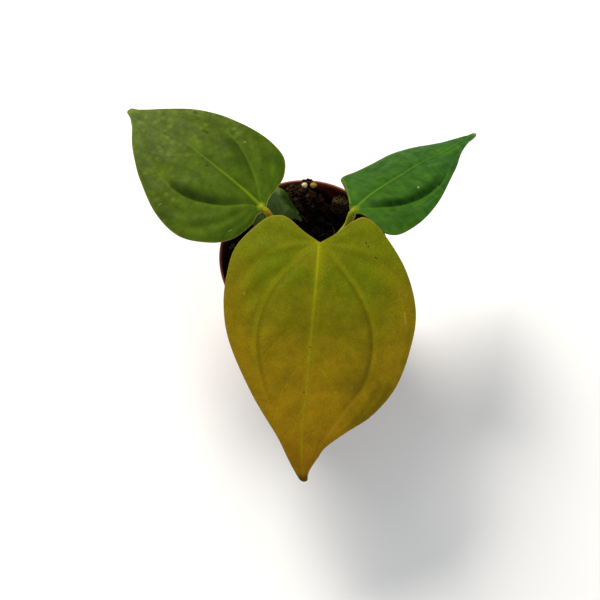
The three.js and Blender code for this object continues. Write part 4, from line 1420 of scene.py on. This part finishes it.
def clump_pieces(draw):
    """Crumbs that lie together where the photograph shows them."""
    for centre_x, centre_y, spread, crumbs, dry in CLUMPS:
        for _ in range(crumbs):
            size = size_of(draw, "clump", 2)
            x, y, _, _ = near_place(draw, centre_x, centre_y, spread)
            z = ground(x, y)
            if z is not None:
                turns = any_turns(draw)
                place = (x, y, z + mix(0.1, 0.9, draw()))
                yield bark_piece(draw, "clump", size, turns, place, dry * mix(0.4, 1.0, draw()))


def heap_pieces(draw):
    """The mossy heap, whose pieces lie along the wall, nearer together and drier towards its top."""
    for k in range(HEAP["pieces"]):
        up = k / (HEAP["pieces"] - 1)
        radius, angle = HEAP["spread"] * (1 - 0.7 * up) * math.sqrt(draw()), GOLDEN_TURN * k
        place = (HEAP["at"][0] + radius * math.cos(angle), HEAP["at"][1] + radius * math.sin(angle),
                 mix(HEAP["foot"], HEAP["top"] - 0.8, up))
        size = size_of(draw, "heap")
        beside_wall = math.atan2(place[1], place[0]) + math.pi / 2
        turns = (mix(-0.6, 0.6, draw()), mix(-0.4, 0.4, draw()), beside_wall + mix(-0.5, 0.5, draw()))
        yield bark_piece(draw, "heap", size, turns, place, mix(0.05, 0.5, up))


def build_substrate(settings):
    """The mass of humus, and on it the bark, the fibres and the moss."""
    points, faces = soil_body()
    add_piece("substrate_mass", points, faces, [humus(settings.humus_colour)], "bark_substrate",
              ["substrate"])
    draw = random_from(settings.seed)
    pieces = [*spread_pieces(draw, settings), *clump_pieces(draw), *heap_pieces(draw)]
    points, faces, _ = joined([piece[:2] for piece in pieces])
    grain, tone = np.vstack([piece[2] for piece in pieces]), np.concatenate([piece[3] for piece in pieces])
    add_piece("bark_chips", points, faces, [bark(settings.bark_dark, settings.bark_light)],
              "bark_substrate", ["substrate"], {"grain_mm": grain, "tone": tone}, sharp=55)
    build_fibres(settings)
    build_moss(settings)


def build_fibres(settings):
    """Reddish root and bark fibres that lie loosely over the chips."""
    draw = random_from(settings.seed + 1)
    count = FIBRE["points"]
    parts = []
    for _ in range(settings.fibres):
        x, y, _ = loose_place(draw, FIBRE["clear"])
        heading = draw() * 2 * math.pi
        bend = mix(-0.5, 0.5, draw())
        step = mix(*FIBRE["step"], draw())
        lift = mix(*FIBRE["lift"], draw())
        line = []
        for k in range(count):
            z = float(soil_height(x, y)) + 0.35 + lift * math.sin(math.pi * k / (count - 1))
            line.append((x, y, z))
            heading += bend * 0.4 + mix(-0.25, 0.25, draw())
            x, y = x + step * math.cos(heading), y + step * math.sin(heading)
        line = np.array(line)
        kept = np.hypot(line[:, 0], line[:, 1]) < wall_limit(line[:, 2]) - 0.4
        if kept.all():
            radii = mix(*FIBRE["radius"], draw()) * np.sin(np.linspace(0.35, math.pi - 0.25, count))
            parts.append(sweep(line, radii, 5))
    steps = 24
    for points, radius in ROOTS:
        line = line_through(points, np.linspace(0, 1, steps))
        line[:, 2] += 0.15 * rough(line, 1.7, radius)
        parts.append(sweep(line, radius * (1 + 0.9 * np.exp(-(np.arange(steps) / 2.2) ** 2)), 7))
    points, faces, _ = joined(parts)
    material = plain_growth("root and bark fibres, dry", "#24130a", "#5f3d26", 3, 0.7)
    add_piece("fibres", points, faces, [material], "bark_substrate")


def build_moss(settings):
    """Cushions of young moss: short shoots with pointed leaves set in a spiral."""
    draw = random_from(settings.seed + 2)
    parts = []
    for centre_x, centre_y, spread, shoots in MOSS:
        for _ in range(shoots):
            x, y, radius, angle = near_place(draw, centre_x, centre_y, spread)
            z = ground(x, y)
            if z is None:
                continue
            height = mix(*SHOOT["height"], draw()) * (1.15 - 0.5 * radius / spread)
            lean = np.array([*(mix(-SHOOT["lean"], SHOOT["lean"], draw()) for _ in range(2)), 1.0])
            foot = np.array((x, y, z - 0.1))
            parts.append(sweep([foot, foot + lean * height * 0.5, foot + lean * height],
                               [0.14, 0.12, 0.05], 3))
            for k in range(SHOOT["leaves"]):
                turn = GOLDEN_TURN * k + angle
                outward = np.array((math.cos(turn), math.sin(turn), 0.75))
                across = np.array((-math.sin(turn), math.cos(turn), 0)) * SHOOT["leaf_half"]
                base = foot + lean * height * (0.2 + 0.085 * k)
                apex = base + outward * mix(*SHOOT["leaf_length"], draw())
                leaf = np.array([base - across, base + across, base - (0, 0, 0.12), apex])
                parts.append((leaf, [(3, 1, 0), (3, 2, 1), (3, 0, 2), (1, 2, 0)]))
    points, faces, _ = joined(parts)
    material = plain_growth("cushion moss, young shoots", "#2c2e0c", "#746c26", 3, 0.75)
    add_piece("moss", points, faces, [material], "bark_substrate", sharp=30)


def build_stones():
    """Small weathered grains of pumice and limestone by the rim."""
    for number, (name, stone) in enumerate(STONES.items()):
        shape = bmesh.new()
        bmesh.ops.create_icosphere(shape, subdivisions=5, radius=1)
        ball = np.array([v.co[:] for v in shape.verts])
        faces = [tuple(v.index for v in face.verts) for face in shape.faces]
        shape.free()
        swell = 0.9 + 0.09 * rough(ball, 0.9, number * 7.0, 3) + 0.04 * rough(ball, 0.25, number, 2)
        points = ball * swell[:, None] * np.array(stone["size"]) + np.array(stone["at"])
        material = plain_growth(f"weathered grain, {name.split('_')[0]}", *stone["shades"], 0.8, 0.85)
        add_piece(f"{name}_grain", points, faces, [material], name, [name])


# Stem


def build_stem():
    """The short stem with its leaf scars, and the dry scale leaves that stay round it."""
    radius, crown, sides = STEM["radius"], STEM["crown"], STEM["sides"]
    heights = np.concatenate([np.linspace(STEM["foot"], crown, 40),
                              crown + radius * np.sin(np.linspace(0.1, math.pi / 2 - 0.12, 12))])
    turn = np.linspace(0, 2 * math.pi, sides, endpoint=False)
    rings = []
    for z in heights:
        dome = math.sqrt(max(0, 1 - max(0, (z - crown) / radius) ** 2))
        foot = ease(z, STEM["foot"] - 1.2, STEM["foot"] + 1.5)
        scar = 0.16 * np.exp(-((z - np.array(STEM["scars"])) / 0.35) ** 2).sum()
        ring = np.column_stack([np.cos(turn), np.sin(turn), np.zeros(sides)])
        lumps = 0.12 * rough(ring * 3 + (0, 0, z), 1.6, 4.0, 2)
        wide = (radius - 0.2 + lumps - scar) * dome * foot
        rings.append(np.column_stack([ring[:, :2] * wide[:, None], np.full(sides, z)]))
    parts = [capped_rings(rings, (0, 0, STEM["foot"]), (0, 0, crown + radius))]
    draw = random_from(STEM["seed"])
    for k in range(STEM["scales"]):
        parts.append(scale_leaf(2 * math.pi * k / STEM["scales"] + mix(-0.3, 0.3, draw()), draw))
    points, faces, owners = joined(parts)
    points = points + (STEM["x"], STEM["y"], 0)
    worn = (owners[[face[0] for face in faces]] > 0).astype(int)
    skin = plain_growth("stem bark, green and corky", "#3d3a16", "#6a6a2c", 2.5, 0.6)
    dry = plain_growth("dry scale leaves, papery", "#4a2f18", "#94704a", 1.5, 0.7)
    add_piece("stem_stump", points, faces, [skin, dry], "stem_tissue", ["stem"], worn=worn)


def scale_leaf(turn, draw):
    """A papery strap that clasps the stem and frays at its end."""
    radius = STEM["radius"] - 0.15
    low, high = mix(47, 49.5, draw()), mix(53.5, 57.5, draw())
    half = mix(0.35, 0.6, draw())
    rows, columns = 16, 9
    sheets = []
    for offset in (0.0, 0.22):
        for i in range(rows + 1):
            t = i / rows
            z = mix(low, high, t)
            width = half * (1 - 0.75 * t ** 2)
            flare = radius + offset + 1.5 * t ** 2.2
            spread = turn + width * np.linspace(-1, 1, columns)
            frayed = z + 0.5 * t * np.cos(9 * np.linspace(0, 1, columns) + turn)
            sheets.append(np.column_stack([flare * np.cos(spread), flare * np.sin(spread), frayed]))
    points = np.vstack(sheets)
    outer = (rows + 1) * columns
    faces = []
    for i in range(rows):
        for j in range(columns - 1):
            a = i * columns + j
            faces.append((a, a + columns, a + columns + 1, a + 1))
            faces.append((outer + a, outer + a + 1, outer + a + columns + 1, outer + a + columns))
    rim = [i * columns for i in range(rows + 1)]
    rim += [rows * columns + j for j in range(1, columns)]
    rim += [i * columns + columns - 1 for i in range(rows - 1, -1, -1)]
    rim += [j for j in range(columns - 2, 0, -1)]
    for a, b in zip(rim, rim[1:] + rim[:1]):
        faces.append((a, outer + a, outer + b, b))
    return points, faces


# Leaves


def blade_frame(leaf):
    """Junction, and the directions along the midrib, across it and up out of the blade, with its length."""
    junction = np.array(leaf["junction"], float)
    along = np.array(leaf["tip"], float) - junction
    length = np.linalg.norm(along)
    along /= length
    level = np.cross((0, 0, 1), along)
    level /= np.linalg.norm(level)
    steep = np.cross(along, level)
    roll = math.radians(leaf["roll"])
    across = level * math.cos(roll) + steep * math.sin(roll)
    return junction, along, across, np.cross(along, across), length


def curled_under(leaf, flat):
    """Winds the lobe past a line through the junction onto a cone, so that its back edge curls under. Gives
    the places, how far they drop and how far they are from the fold."""
    if leaf["curl"] is None:
        return flat, np.zeros(flat.shape[:-1]), np.full(flat.shape[:-1], np.inf)
    tightness = leaf["curl"]["tightness"]
    u, v = flat[..., 0], flat[..., 1]
    reach = np.hypot(u, v)
    # Near the join the fold turns away from the midrib, and within about 3 mm of it there is none
    start = (math.radians(leaf["curl"]["from"]) + 0.14 * np.exp((5.8 - reach) / 3)
             + 1.75 * (1 - ease(reach, 2, 4.2)))
    arc = (np.arctan2(v, u) - start) * reach
    whole = np.maximum(arc / np.maximum(tightness * reach, 1e-6), 0)
    turn = np.minimum(whole, 0.92 * math.pi)
    radius = tightness * reach
    beside = radius * (np.sin(turn) + (whole - turn) * np.cos(turn))
    drop = radius * (1 - np.cos(turn) + (whole - turn) * np.sin(turn))
    curled = np.stack([reach * np.cos(start) - beside * np.sin(start),
                       reach * np.sin(start) + beside * np.cos(start)], -1)
    return np.where((turn > 0)[..., None], curled, flat), np.where(turn > 0, drop, 0), np.maximum(-arc, 0)


def distance_to(places, line):
    """Distance of each flat place from a line of points."""
    tree = KDTree(len(line))
    for number, (u, v) in enumerate(line):
        tree.insert((u, v, 0), number)
    tree.balance()
    return np.array([tree.find((u, v, 0))[2] for u, v in places])


def blade_sheet(leaf):
    """The blade's middle sheet as a grid, from the junction to the tip, and what its skin needs to know."""
    junction, along, across, up, length = blade_frame(leaf)
    rows, counts = leaf["rows"], leaf["columns"]
    shares = np.linspace(0, 1, rows + 1)
    flat_columns, panels, places, domes = [], [], [], []
    distances = {"midrib": [], "inner": [], "outer": [], "edge": []}
    for side in (-1, 1):
        half = leaf["positive" if side > 0 else "negative"]
        between = (leaf["midrib"], half["inner"], half["outer"], half["margin"])
        lines = [[(0, 0), *points, (length, 0)] for points in between]
        curves = [line_through(line, shares) for line in lines]
        spans = [np.linalg.norm(b - a, axis=1) for a, b in zip(curves, curves[1:])]
        fullness = [(span / span.max()) ** 1.5 for span in (spans[0], spans[1] + spans[2])]
        stations = [(panel, k / count) for panel, count in enumerate(counts) for k in range(1, count + 1)]
        if side > 0:
            stations.insert(0, (0, 0.0))
        else:
            stations.reverse()
        dense = [line_through(line, np.linspace(0, 1, 900)) for line in lines]
        for panel, t in stations:
            column = mix(curves[panel], curves[panel + 1], t)
            flat_columns.append(column)
            panels.append(panel)
            places.append(t)
            beyond = int(panel > 0)
            over = (panel - 1 + t) / 2 if beyond else t
            domes.append(fullness[beyond] * math.sin(math.pi * over ** CREST[beyond]))
            sign = -1 if panel == 0 else 1
            distances["midrib"].append(distance_to(column, dense[0]))
            distances["inner"].append(sign * distance_to(column, dense[1]))
            distances["outer"].append(distance_to(column, dense[2]))
            distances["edge"].append(distance_to(column, dense[3]))
    flat = np.stack(flat_columns, 1)
    panel, t, s = np.array(panels)[None], np.array(places)[None], shares[:, None]
    measures = {key: np.stack(values, 1) for key, values in distances.items()}
    u, v = flat[..., 0], flat[..., 1]
    phase = QUILT["waves"] * (s - QUILT["lean"] * (panel + t))
    open_share = np.sqrt(np.sin(math.pi * np.clip(s, 0, 1)).clip(0))
    bulge = np.where(panel > 0, BULGE[1], BULGE[0]) + QUILT["height"] * np.cos(2 * math.pi * phase)
    relief = np.where(v > 0, leaf["relief"][1], leaf["relief"][0]) * np.stack(domes, 1) * bulge
    curled, drop, fold = curled_under(leaf, flat)
    q = curled[..., 0] / length
    far = np.hypot(curled[..., 1], FOLD_EASE) - FOLD_EASE
    rise = leaf["arch"] * 4 * q * (1 - q) + leaf["fold"] * far + relief - drop
    rise += leaf["shoulder"] * shoulder(u, v)
    rise += fine_relief(leaf, flat, s, measures, open_share)
    sheet = (junction + curled[..., :1] * along + curled[..., 1:] * across + rise[..., None] * up)
    # The midrib is wider by the petiole and narrower towards the tip
    width = mix(1.0, 0.35, np.clip(u / length, 0, 1)) + 0.9 * np.exp(-np.maximum(u, 0) / 3.5)
    measures.update({
        "flat": np.dstack([u, v, np.zeros_like(u)]),
        "along": np.broadcast_to(np.clip(u / length, 0, 1), u.shape),
        "phase": np.broadcast_to(phase, u.shape),
        "ribs": ribs(leaf, s, measures["midrib"], measures["inner"], phase, t),
        "midrib": measures["midrib"] / width,
        "edge": np.minimum(measures["edge"], fold),
    })
    return sheet, measures


def shoulder(u, v):
    """The swelling where the petiole bends into the blade; behind it the skin runs down the petiole."""
    hump = 0.35 * np.exp(-((u + 0.2) / 1.3) ** 2 - (v / 1.6) ** 2)
    return hump - 0.9 * ease(-u, 0.6, 2.2) * np.exp(-(v / 2) ** 2)


def fine_relief(leaf, flat, s, measures, open_share):
    """Grooves over the veins, slow waves in the sheet, and the edge that rolls down a little."""
    ends = ease(s, 0, 0.03) * ease(1 - s, 0, 0.1)
    fade = ends * mix(1.0, 0.4, s)
    middle = measures["midrib"]
    groove = bell(middle, *GROOVES["midrib"]) - bell(middle, *GROOVES["line"])
    laterals = bell(measures["inner"], *GROOVES["inner"]) * ease(s, 0.8, 0.4)
    laterals += bell(measures["outer"], *GROOVES["outer"]) * ease(s, 0.5, 0.2)
    groove += laterals * np.where(flat[..., 1] > 0, *leaf["relief"][::-1]) / leaf["relief"][0]
    groove *= fade
    spots = np.dstack([flat, np.zeros(flat.shape[:2])]).reshape(-1, 3)
    slow = 0.35 * rough(spots, 16, leaf["junction"][0], 2) + 0.08 * rough(spots, 4, leaf["junction"][1], 2)
    slow = slow.reshape(flat.shape[:2]) * open_share * leaf["relief"][0]
    depth, reach = (np.where(flat[..., 1] > 0, *pair) for pair in zip(*leaf["edge_rolls"]))
    roll = depth * (1 - ease(measures["edge"] / reach, 0, 1)) * open_share
    return slow - groove - roll


def ribs(leaf, s, middle, inner, phase, t):
    """How far the veins stand out under the blade."""
    ends = ease(s, 0, 0.08) * ease(1 - s, 0, 0.08)
    taper = ends * mix(1.0, 0.3, s) * leaf["relief"][0]
    side = bell(np.mod(phase, 1) - 0.5, *RIBS["side"]) * np.sin(math.pi * t)
    return taper * (bell(middle, *RIBS["midrib"]) + bell(inner, *RIBS["inner"]) + side)


def blade_mesh(sheet, measures, thickness):
    """A closed blade round its middle sheet, with a rounded rim. Gives points, faces, the face's side of
    the blade and the measures for each point."""
    last, width = sheet.shape[0] - 1, sheet.shape[1]
    index = np.zeros((last + 1, width), int)
    index[1:last] = 1 + np.arange((last - 1) * width).reshape(last - 1, width)
    index[last] = 1 + (last - 1) * width
    count = index[last, 0] + 1
    order = np.zeros(count, int)
    order[index.ravel()] = np.arange(index.size)
    rim = sheet[1:last, [0, -1]]
    inset = sheet.copy()
    inset[:, 0] = mix(sheet[:, 1], sheet[:, 0], RIM_FROM)
    inset[:, -1] = mix(sheet[:, -2], sheet[:, -1], RIM_FROM)
    centre = inset.reshape(-1, 3)[order]
    down = np.gradient(inset, axis=0)
    over = np.gradient(inset, axis=1)
    normals = np.cross(down, over)
    normals[0], normals[-1] = normals[1].mean(0), normals[-2].mean(0)
    normals /= np.linalg.norm(normals, axis=2)[..., None]
    normals = normals.reshape(-1, 3)[order]
    ribs_down = measures["ribs"].reshape(-1)[order]
    half = thickness / 2
    upper = centre + normals * half
    lower = centre - normals * (half + ribs_down)[:, None]
    upper_faces = []
    for i in range(last):
        for j in range(width - 1):
            a, b, c, d = index[i, j], index[i + 1, j], index[i + 1, j + 1], index[i, j + 1]
            if i == 0:
                upper_faces.append((a, b, c))
            elif i == last - 1:
                upper_faces.append((a, b, d))
            else:
                upper_faces.append((a, b, c, d))
    lower_faces = [tuple(count + v for v in reversed(face)) for face in upper_faces]
    rim_faces = []
    for side, column in ((0, 0), (1, width - 1)):
        start = 2 * count + side * (last - 1)
        line = [index[0, column], *(start + k for k in range(last - 1)), index[last, column]]
        for i in range(last):
            for sheet_start in (0, count):
                a, b = sheet_start + index[i, column], sheet_start + index[i + 1, column]
                c, d = line[i + 1], line[i]
                face = [a, d, c, b] if (side == 0) == (sheet_start == 0) else [a, b, c, d]
                rim_faces.append(face)
    points = np.vstack([upper, lower, rim[:, 0], rim[:, 1]])
    rim_faces = [tuple(dict.fromkeys(face)) for face in rim_faces]
    faces = upper_faces + lower_faces + rim_faces
    under = [0] * len(upper_faces) + [1] * len(lower_faces) + [0] * len(rim_faces)
    values = {}
    for label in BLADE_MEASURES:
        grid = measures[label.removesuffix("_mm")]
        body = grid.reshape(index.size, -1)[order]
        values[label] = np.vstack([body, body, grid[1:last, 0].reshape(last - 1, -1),
                                   grid[1:last, -1].reshape(last - 1, -1)]).squeeze()
    return points, faces, under, values


def build_blades(settings):
    """Each blade with its upper and lower skin."""
    for name, leaf in LEAVES.items():
        sheet, measures = blade_sheet(leaf)
        points, faces, under, values = blade_mesh(sheet, measures, settings.thickness / MM)
        look = LOOKS[name]
        add_piece(f"{name}_blade", points, faces, [upper_skin(name, look), lower_skin(name, look)],
                  f"blade_{name}", [f"blade_{name}"], values, under)


def petiole_line(leaf):
    """The petiole's line, from inside the stem's crown up to the blade and on along its midrib."""
    junction, along, _, up, _ = blade_frame(leaf)
    crown = np.array((STEM["x"], STEM["y"], STEM["crown"]))
    start = np.array(leaf["leaves_stem"], float)
    start /= np.linalg.norm(start)
    foot = crown + start * (STEM["radius"] - 0.6)
    knee = crown + start * (STEM["radius"] + PETIOLE["knee"])
    merging = [junction + along * onward - up * below for onward, below in leaf["merges"]]
    return line_through([foot, knee, *leaf["route"], *merging], np.linspace(0, 1, PETIOLE["steps"] + 1),
                        centripetal=True)


def build_petioles():
    """Each petiole, from its sheath at the stem to its head on the blade."""
    for name, leaf in LEAVES.items():
        line = petiole_line(leaf)
        reach = np.concatenate([[0], np.cumsum(np.linalg.norm(np.diff(line, axis=0), axis=1))])
        joint = reach[np.argmin(np.linalg.norm(line - np.array(leaf["junction"]), axis=1))]
        sheath = PETIOLE["sheath"] * (1 - ease(reach, 0, PETIOLE["sheath_reach"]))
        swelling = PETIOLE["swelling"] * ease(reach, joint - PETIOLE["swells_from"],
                                              joint - PETIOLE["swells_to"])
        radii = leaf["girth"] * PETIOLE["radius"] + sheath + swelling
        radii *= mix(1, PETIOLE["end"], ease(reach, joint - PETIOLE["taper"], reach[-1]))
        radii *= 1 + 0.03 * rough(line, 2.5, 3.3)
        sides = PETIOLE["sides"]
        points, faces = sweep(line, radii, sides, flatten=PETIOLE["flat"])
        turn = np.linspace(0, 2 * math.pi, sides, endpoint=False)
        skin = np.column_stack([np.tile(np.cos(turn), len(line)) * PETIOLE["radius"],
                                np.tile(np.sin(turn), len(line)) * PETIOLE["radius"],
                                np.repeat(reach, sides)])
        skin = np.vstack([skin, (0, 0, 0), (0, 0, reach[-1])])
        along = np.append(np.repeat(reach / joint, sides), [0, 1.1])
        add_piece(f"{name}_petiole", points, faces, [petiole_skin(name)], f"petiole_{name}",
                  [f"petiole_{name}"], {"along": along, "stalk_mm": skin})


# Stage


def build_stage(settings):
    """A plain pale floor, soft studio light and the camera at the photograph's viewing angle."""
    scene = bpy.context.scene
    half = settings.floor_half
    mesh = bpy.data.meshes.new("floor")
    mesh.from_pydata([(-half, -half, 0), (half, -half, 0), (half, half, 0), (-half, half, 0)], [],
                     [(0, 1, 2, 3)])
    floor = bpy.data.objects.new("floor", mesh)
    scene.collection.objects.link(floor)
    floor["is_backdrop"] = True
    material, node = start_material("floor, matt white card")
    place = node("TexCoord").outputs["Object"]
    tooth = node("TexNoise", None, {"Vector": place, "Scale": 1 / 0.004, "Detail": 3})
    bump = node("Bump", None, {"Strength": 0.05, "Distance": 0.1 * MM, "Height": tooth})
    finish_material(node, {
        "Base Color": (*settings.floor_colour, 1.0),
        "Roughness": 0.9,
        "Specular IOR Level": 0.1,
        "Normal": bump,
    })
    mesh.materials.append(material)

    camera = bpy.data.objects.new("camera", bpy.data.cameras.new("camera"))
    camera.data.sensor_width = CAMERA["sensor_mm"]
    camera.data.angle = math.radians(CAMERA["field_of_view"])
    camera.data.clip_start, camera.data.clip_end = 0.01, 20
    camera.location = [c * MM for c in CAMERA["at"]]
    camera.rotation_euler = (math.radians(90 - CAMERA["elevation"]), 0, 0)
    scene.collection.objects.link(camera)
    scene.camera = camera

    world = bpy.data.worlds.new("studio")
    world.use_nodes = True
    sky = world.node_tree.nodes["Background"]
    sky.inputs["Color"].default_value = linear("#fbfcff")
    sky.inputs["Strength"].default_value = settings.ambient
    scene.world = world
    for light in LIGHTS:
        data = bpy.data.lights.new(light["name"], "AREA")
        data.shape = "DISK"
        data.size = light["size"]
        data.energy = light["share"] * settings.light_power
        data.color = linear(light["colour"])[:3]
        lamp = bpy.data.objects.new(light["name"], data)
        lamp.location = light["at"]
        aim = Vector(light["aim"]) - Vector(light["at"])
        lamp.rotation_euler = aim.to_track_quat("-Z", "Y").to_euler()
        scene.collection.objects.link(lamp)
    scene.view_settings.view_transform = "Standard"


# Add-on


def colour_property(name, purpose, colour):
    """A colour that the panel offers, from its hex value."""
    return FloatVectorProperty(name=name, description=purpose, subtype="COLOR", size=3, min=0, max=1,
                               default=linear(colour)[:3])


class PotSettings(bpy.types.PropertyGroup):
    wall_colour: colour_property("Wall colour", "Pigment of the pot's plastic", "#8a4830")


class SubstrateSettings(bpy.types.PropertyGroup):
    humus_colour: colour_property("Humus colour", "Lighter shade of the damp humus", "#3a2617")
    bark_dark: colour_property("Damp bark", "Darkest shade of the bark chips", "#060302")
    bark_light: colour_property("Dry bark", "Lightest shade of the bark chips", "#5e4228")
    small_chips: IntProperty(
        name="Small chips", description="Number of chips finer than the frame's own", min=0, max=600,
        default=260)
    crumbs: IntProperty(
        name="Crumbs", description="Number of loose crumbs", min=0, max=3000, default=1500)
    fibres: IntProperty(
        name="Fibres", description="Number of loose fibres", min=0, max=400, default=26)
    seed: IntProperty(name="Seed", description="Start of the random draws", min=0, default=5)


class LeafSettings(bpy.types.PropertyGroup):
    thickness: FloatProperty(
        name="Blade thickness", description="Thickness between the veins", subtype="DISTANCE", unit="LENGTH",
        min=0.0002, max=0.001, precision=4, default=0.55 * MM)


class StageSettings(bpy.types.PropertyGroup):
    floor_half: FloatProperty(
        name="Floor reach", description="Half of the floor's width", subtype="DISTANCE", unit="LENGTH",
        min=0.2, default=2.5)
    floor_colour: colour_property("Floor colour", "Colour of the pale floor", "#eeeeec")
    ambient: FloatProperty(
        name="Ambient light", description="Strength of the even light from all round", min=0, default=0.5)
    light_power: FloatProperty(
        name="Light power", description="Power of the key light in watts", subtype="POWER", unit="POWER",
        min=0, default=12.0)


class PlantSettings(bpy.types.PropertyGroup):
    pot: PointerProperty(type=PotSettings)
    substrate: PointerProperty(type=SubstrateSettings)
    leaf: PointerProperty(type=LeafSettings)
    stage: PointerProperty(type=StageSettings)


class PLANT_OT_pot(bpy.types.Operator):
    """Add the moulded nursery pot"""

    bl_idname = "plant.add_pot"
    bl_label = "Pot"

    def execute(self, context):
        build_pot(context.scene.plant.pot)
        return {"FINISHED"}


class PLANT_OT_substrate(bpy.types.Operator):
    """Add the substrate with its chips, fibres and moss"""

    bl_idname = "plant.add_substrate"
    bl_label = "Substrate"

    def execute(self, context):
        build_substrate(context.scene.plant.substrate)
        return {"FINISHED"}


class PLANT_OT_stones(bpy.types.Operator):
    """Add the two small stones by the rim"""

    bl_idname = "plant.add_stones"
    bl_label = "Stones"

    def execute(self, context):
        build_stones()
        return {"FINISHED"}


class PLANT_OT_stem(bpy.types.Operator):
    """Add the stem with its dry scale leaves"""

    bl_idname = "plant.add_stem"
    bl_label = "Stem"

    def execute(self, context):
        build_stem()
        return {"FINISHED"}


class PLANT_OT_petioles(bpy.types.Operator):
    """Add the four petioles"""

    bl_idname = "plant.add_petioles"
    bl_label = "Petioles"

    def execute(self, context):
        build_petioles()
        return {"FINISHED"}


class PLANT_OT_blades(bpy.types.Operator):
    """Add the four blades"""

    bl_idname = "plant.add_blades"
    bl_label = "Blades"

    def execute(self, context):
        build_blades(context.scene.plant.leaf)
        return {"FINISHED"}


class PLANT_OT_stage(bpy.types.Operator):
    """Add the floor, the lights and the camera"""

    bl_idname = "plant.add_stage"
    bl_label = "Stage"

    def execute(self, context):
        build_stage(context.scene.plant.stage)
        return {"FINISHED"}


OPERATORS = (PLANT_OT_pot, PLANT_OT_substrate, PLANT_OT_stones, PLANT_OT_stem, PLANT_OT_petioles,
             PLANT_OT_blades, PLANT_OT_stage)


class PLANT_PT_panel(bpy.types.Panel):
    bl_label = "Potted anthurium"
    bl_space_type = "VIEW_3D"
    bl_region_type = "UI"
    bl_category = "Plant"

    def draw(self, context):
        plant = context.scene.plant
        for group in (plant.pot, plant.substrate, plant.leaf, plant.stage):
            box = self.layout.box()
            for label in group.__annotations__:
                box.prop(group, label)
        for operator in OPERATORS:
            self.layout.operator(operator.bl_idname)


CLASSES = (PotSettings, SubstrateSettings, LeafSettings, StageSettings, PlantSettings, *OPERATORS,
           PLANT_PT_panel)


def register():
    for cls in CLASSES:
        bpy.utils.register_class(cls)
    bpy.types.Scene.plant = PointerProperty(type=PlantSettings)


def unregister():
    del bpy.types.Scene.plant
    for cls in reversed(CLASSES):
        bpy.utils.unregister_class(cls)


def main():
    """Adds all pieces and the stage."""
    register()
    for operator in OPERATORS:
        group, call = operator.bl_idname.split(".")
        getattr(getattr(bpy.ops, group), call)()
    boxes = {"cad": CAD_BOX, "visual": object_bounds()}
    {label: [list(corner) for corner in box] for label, box in boxes.items()}


if __name__ == "__main__":
    main()
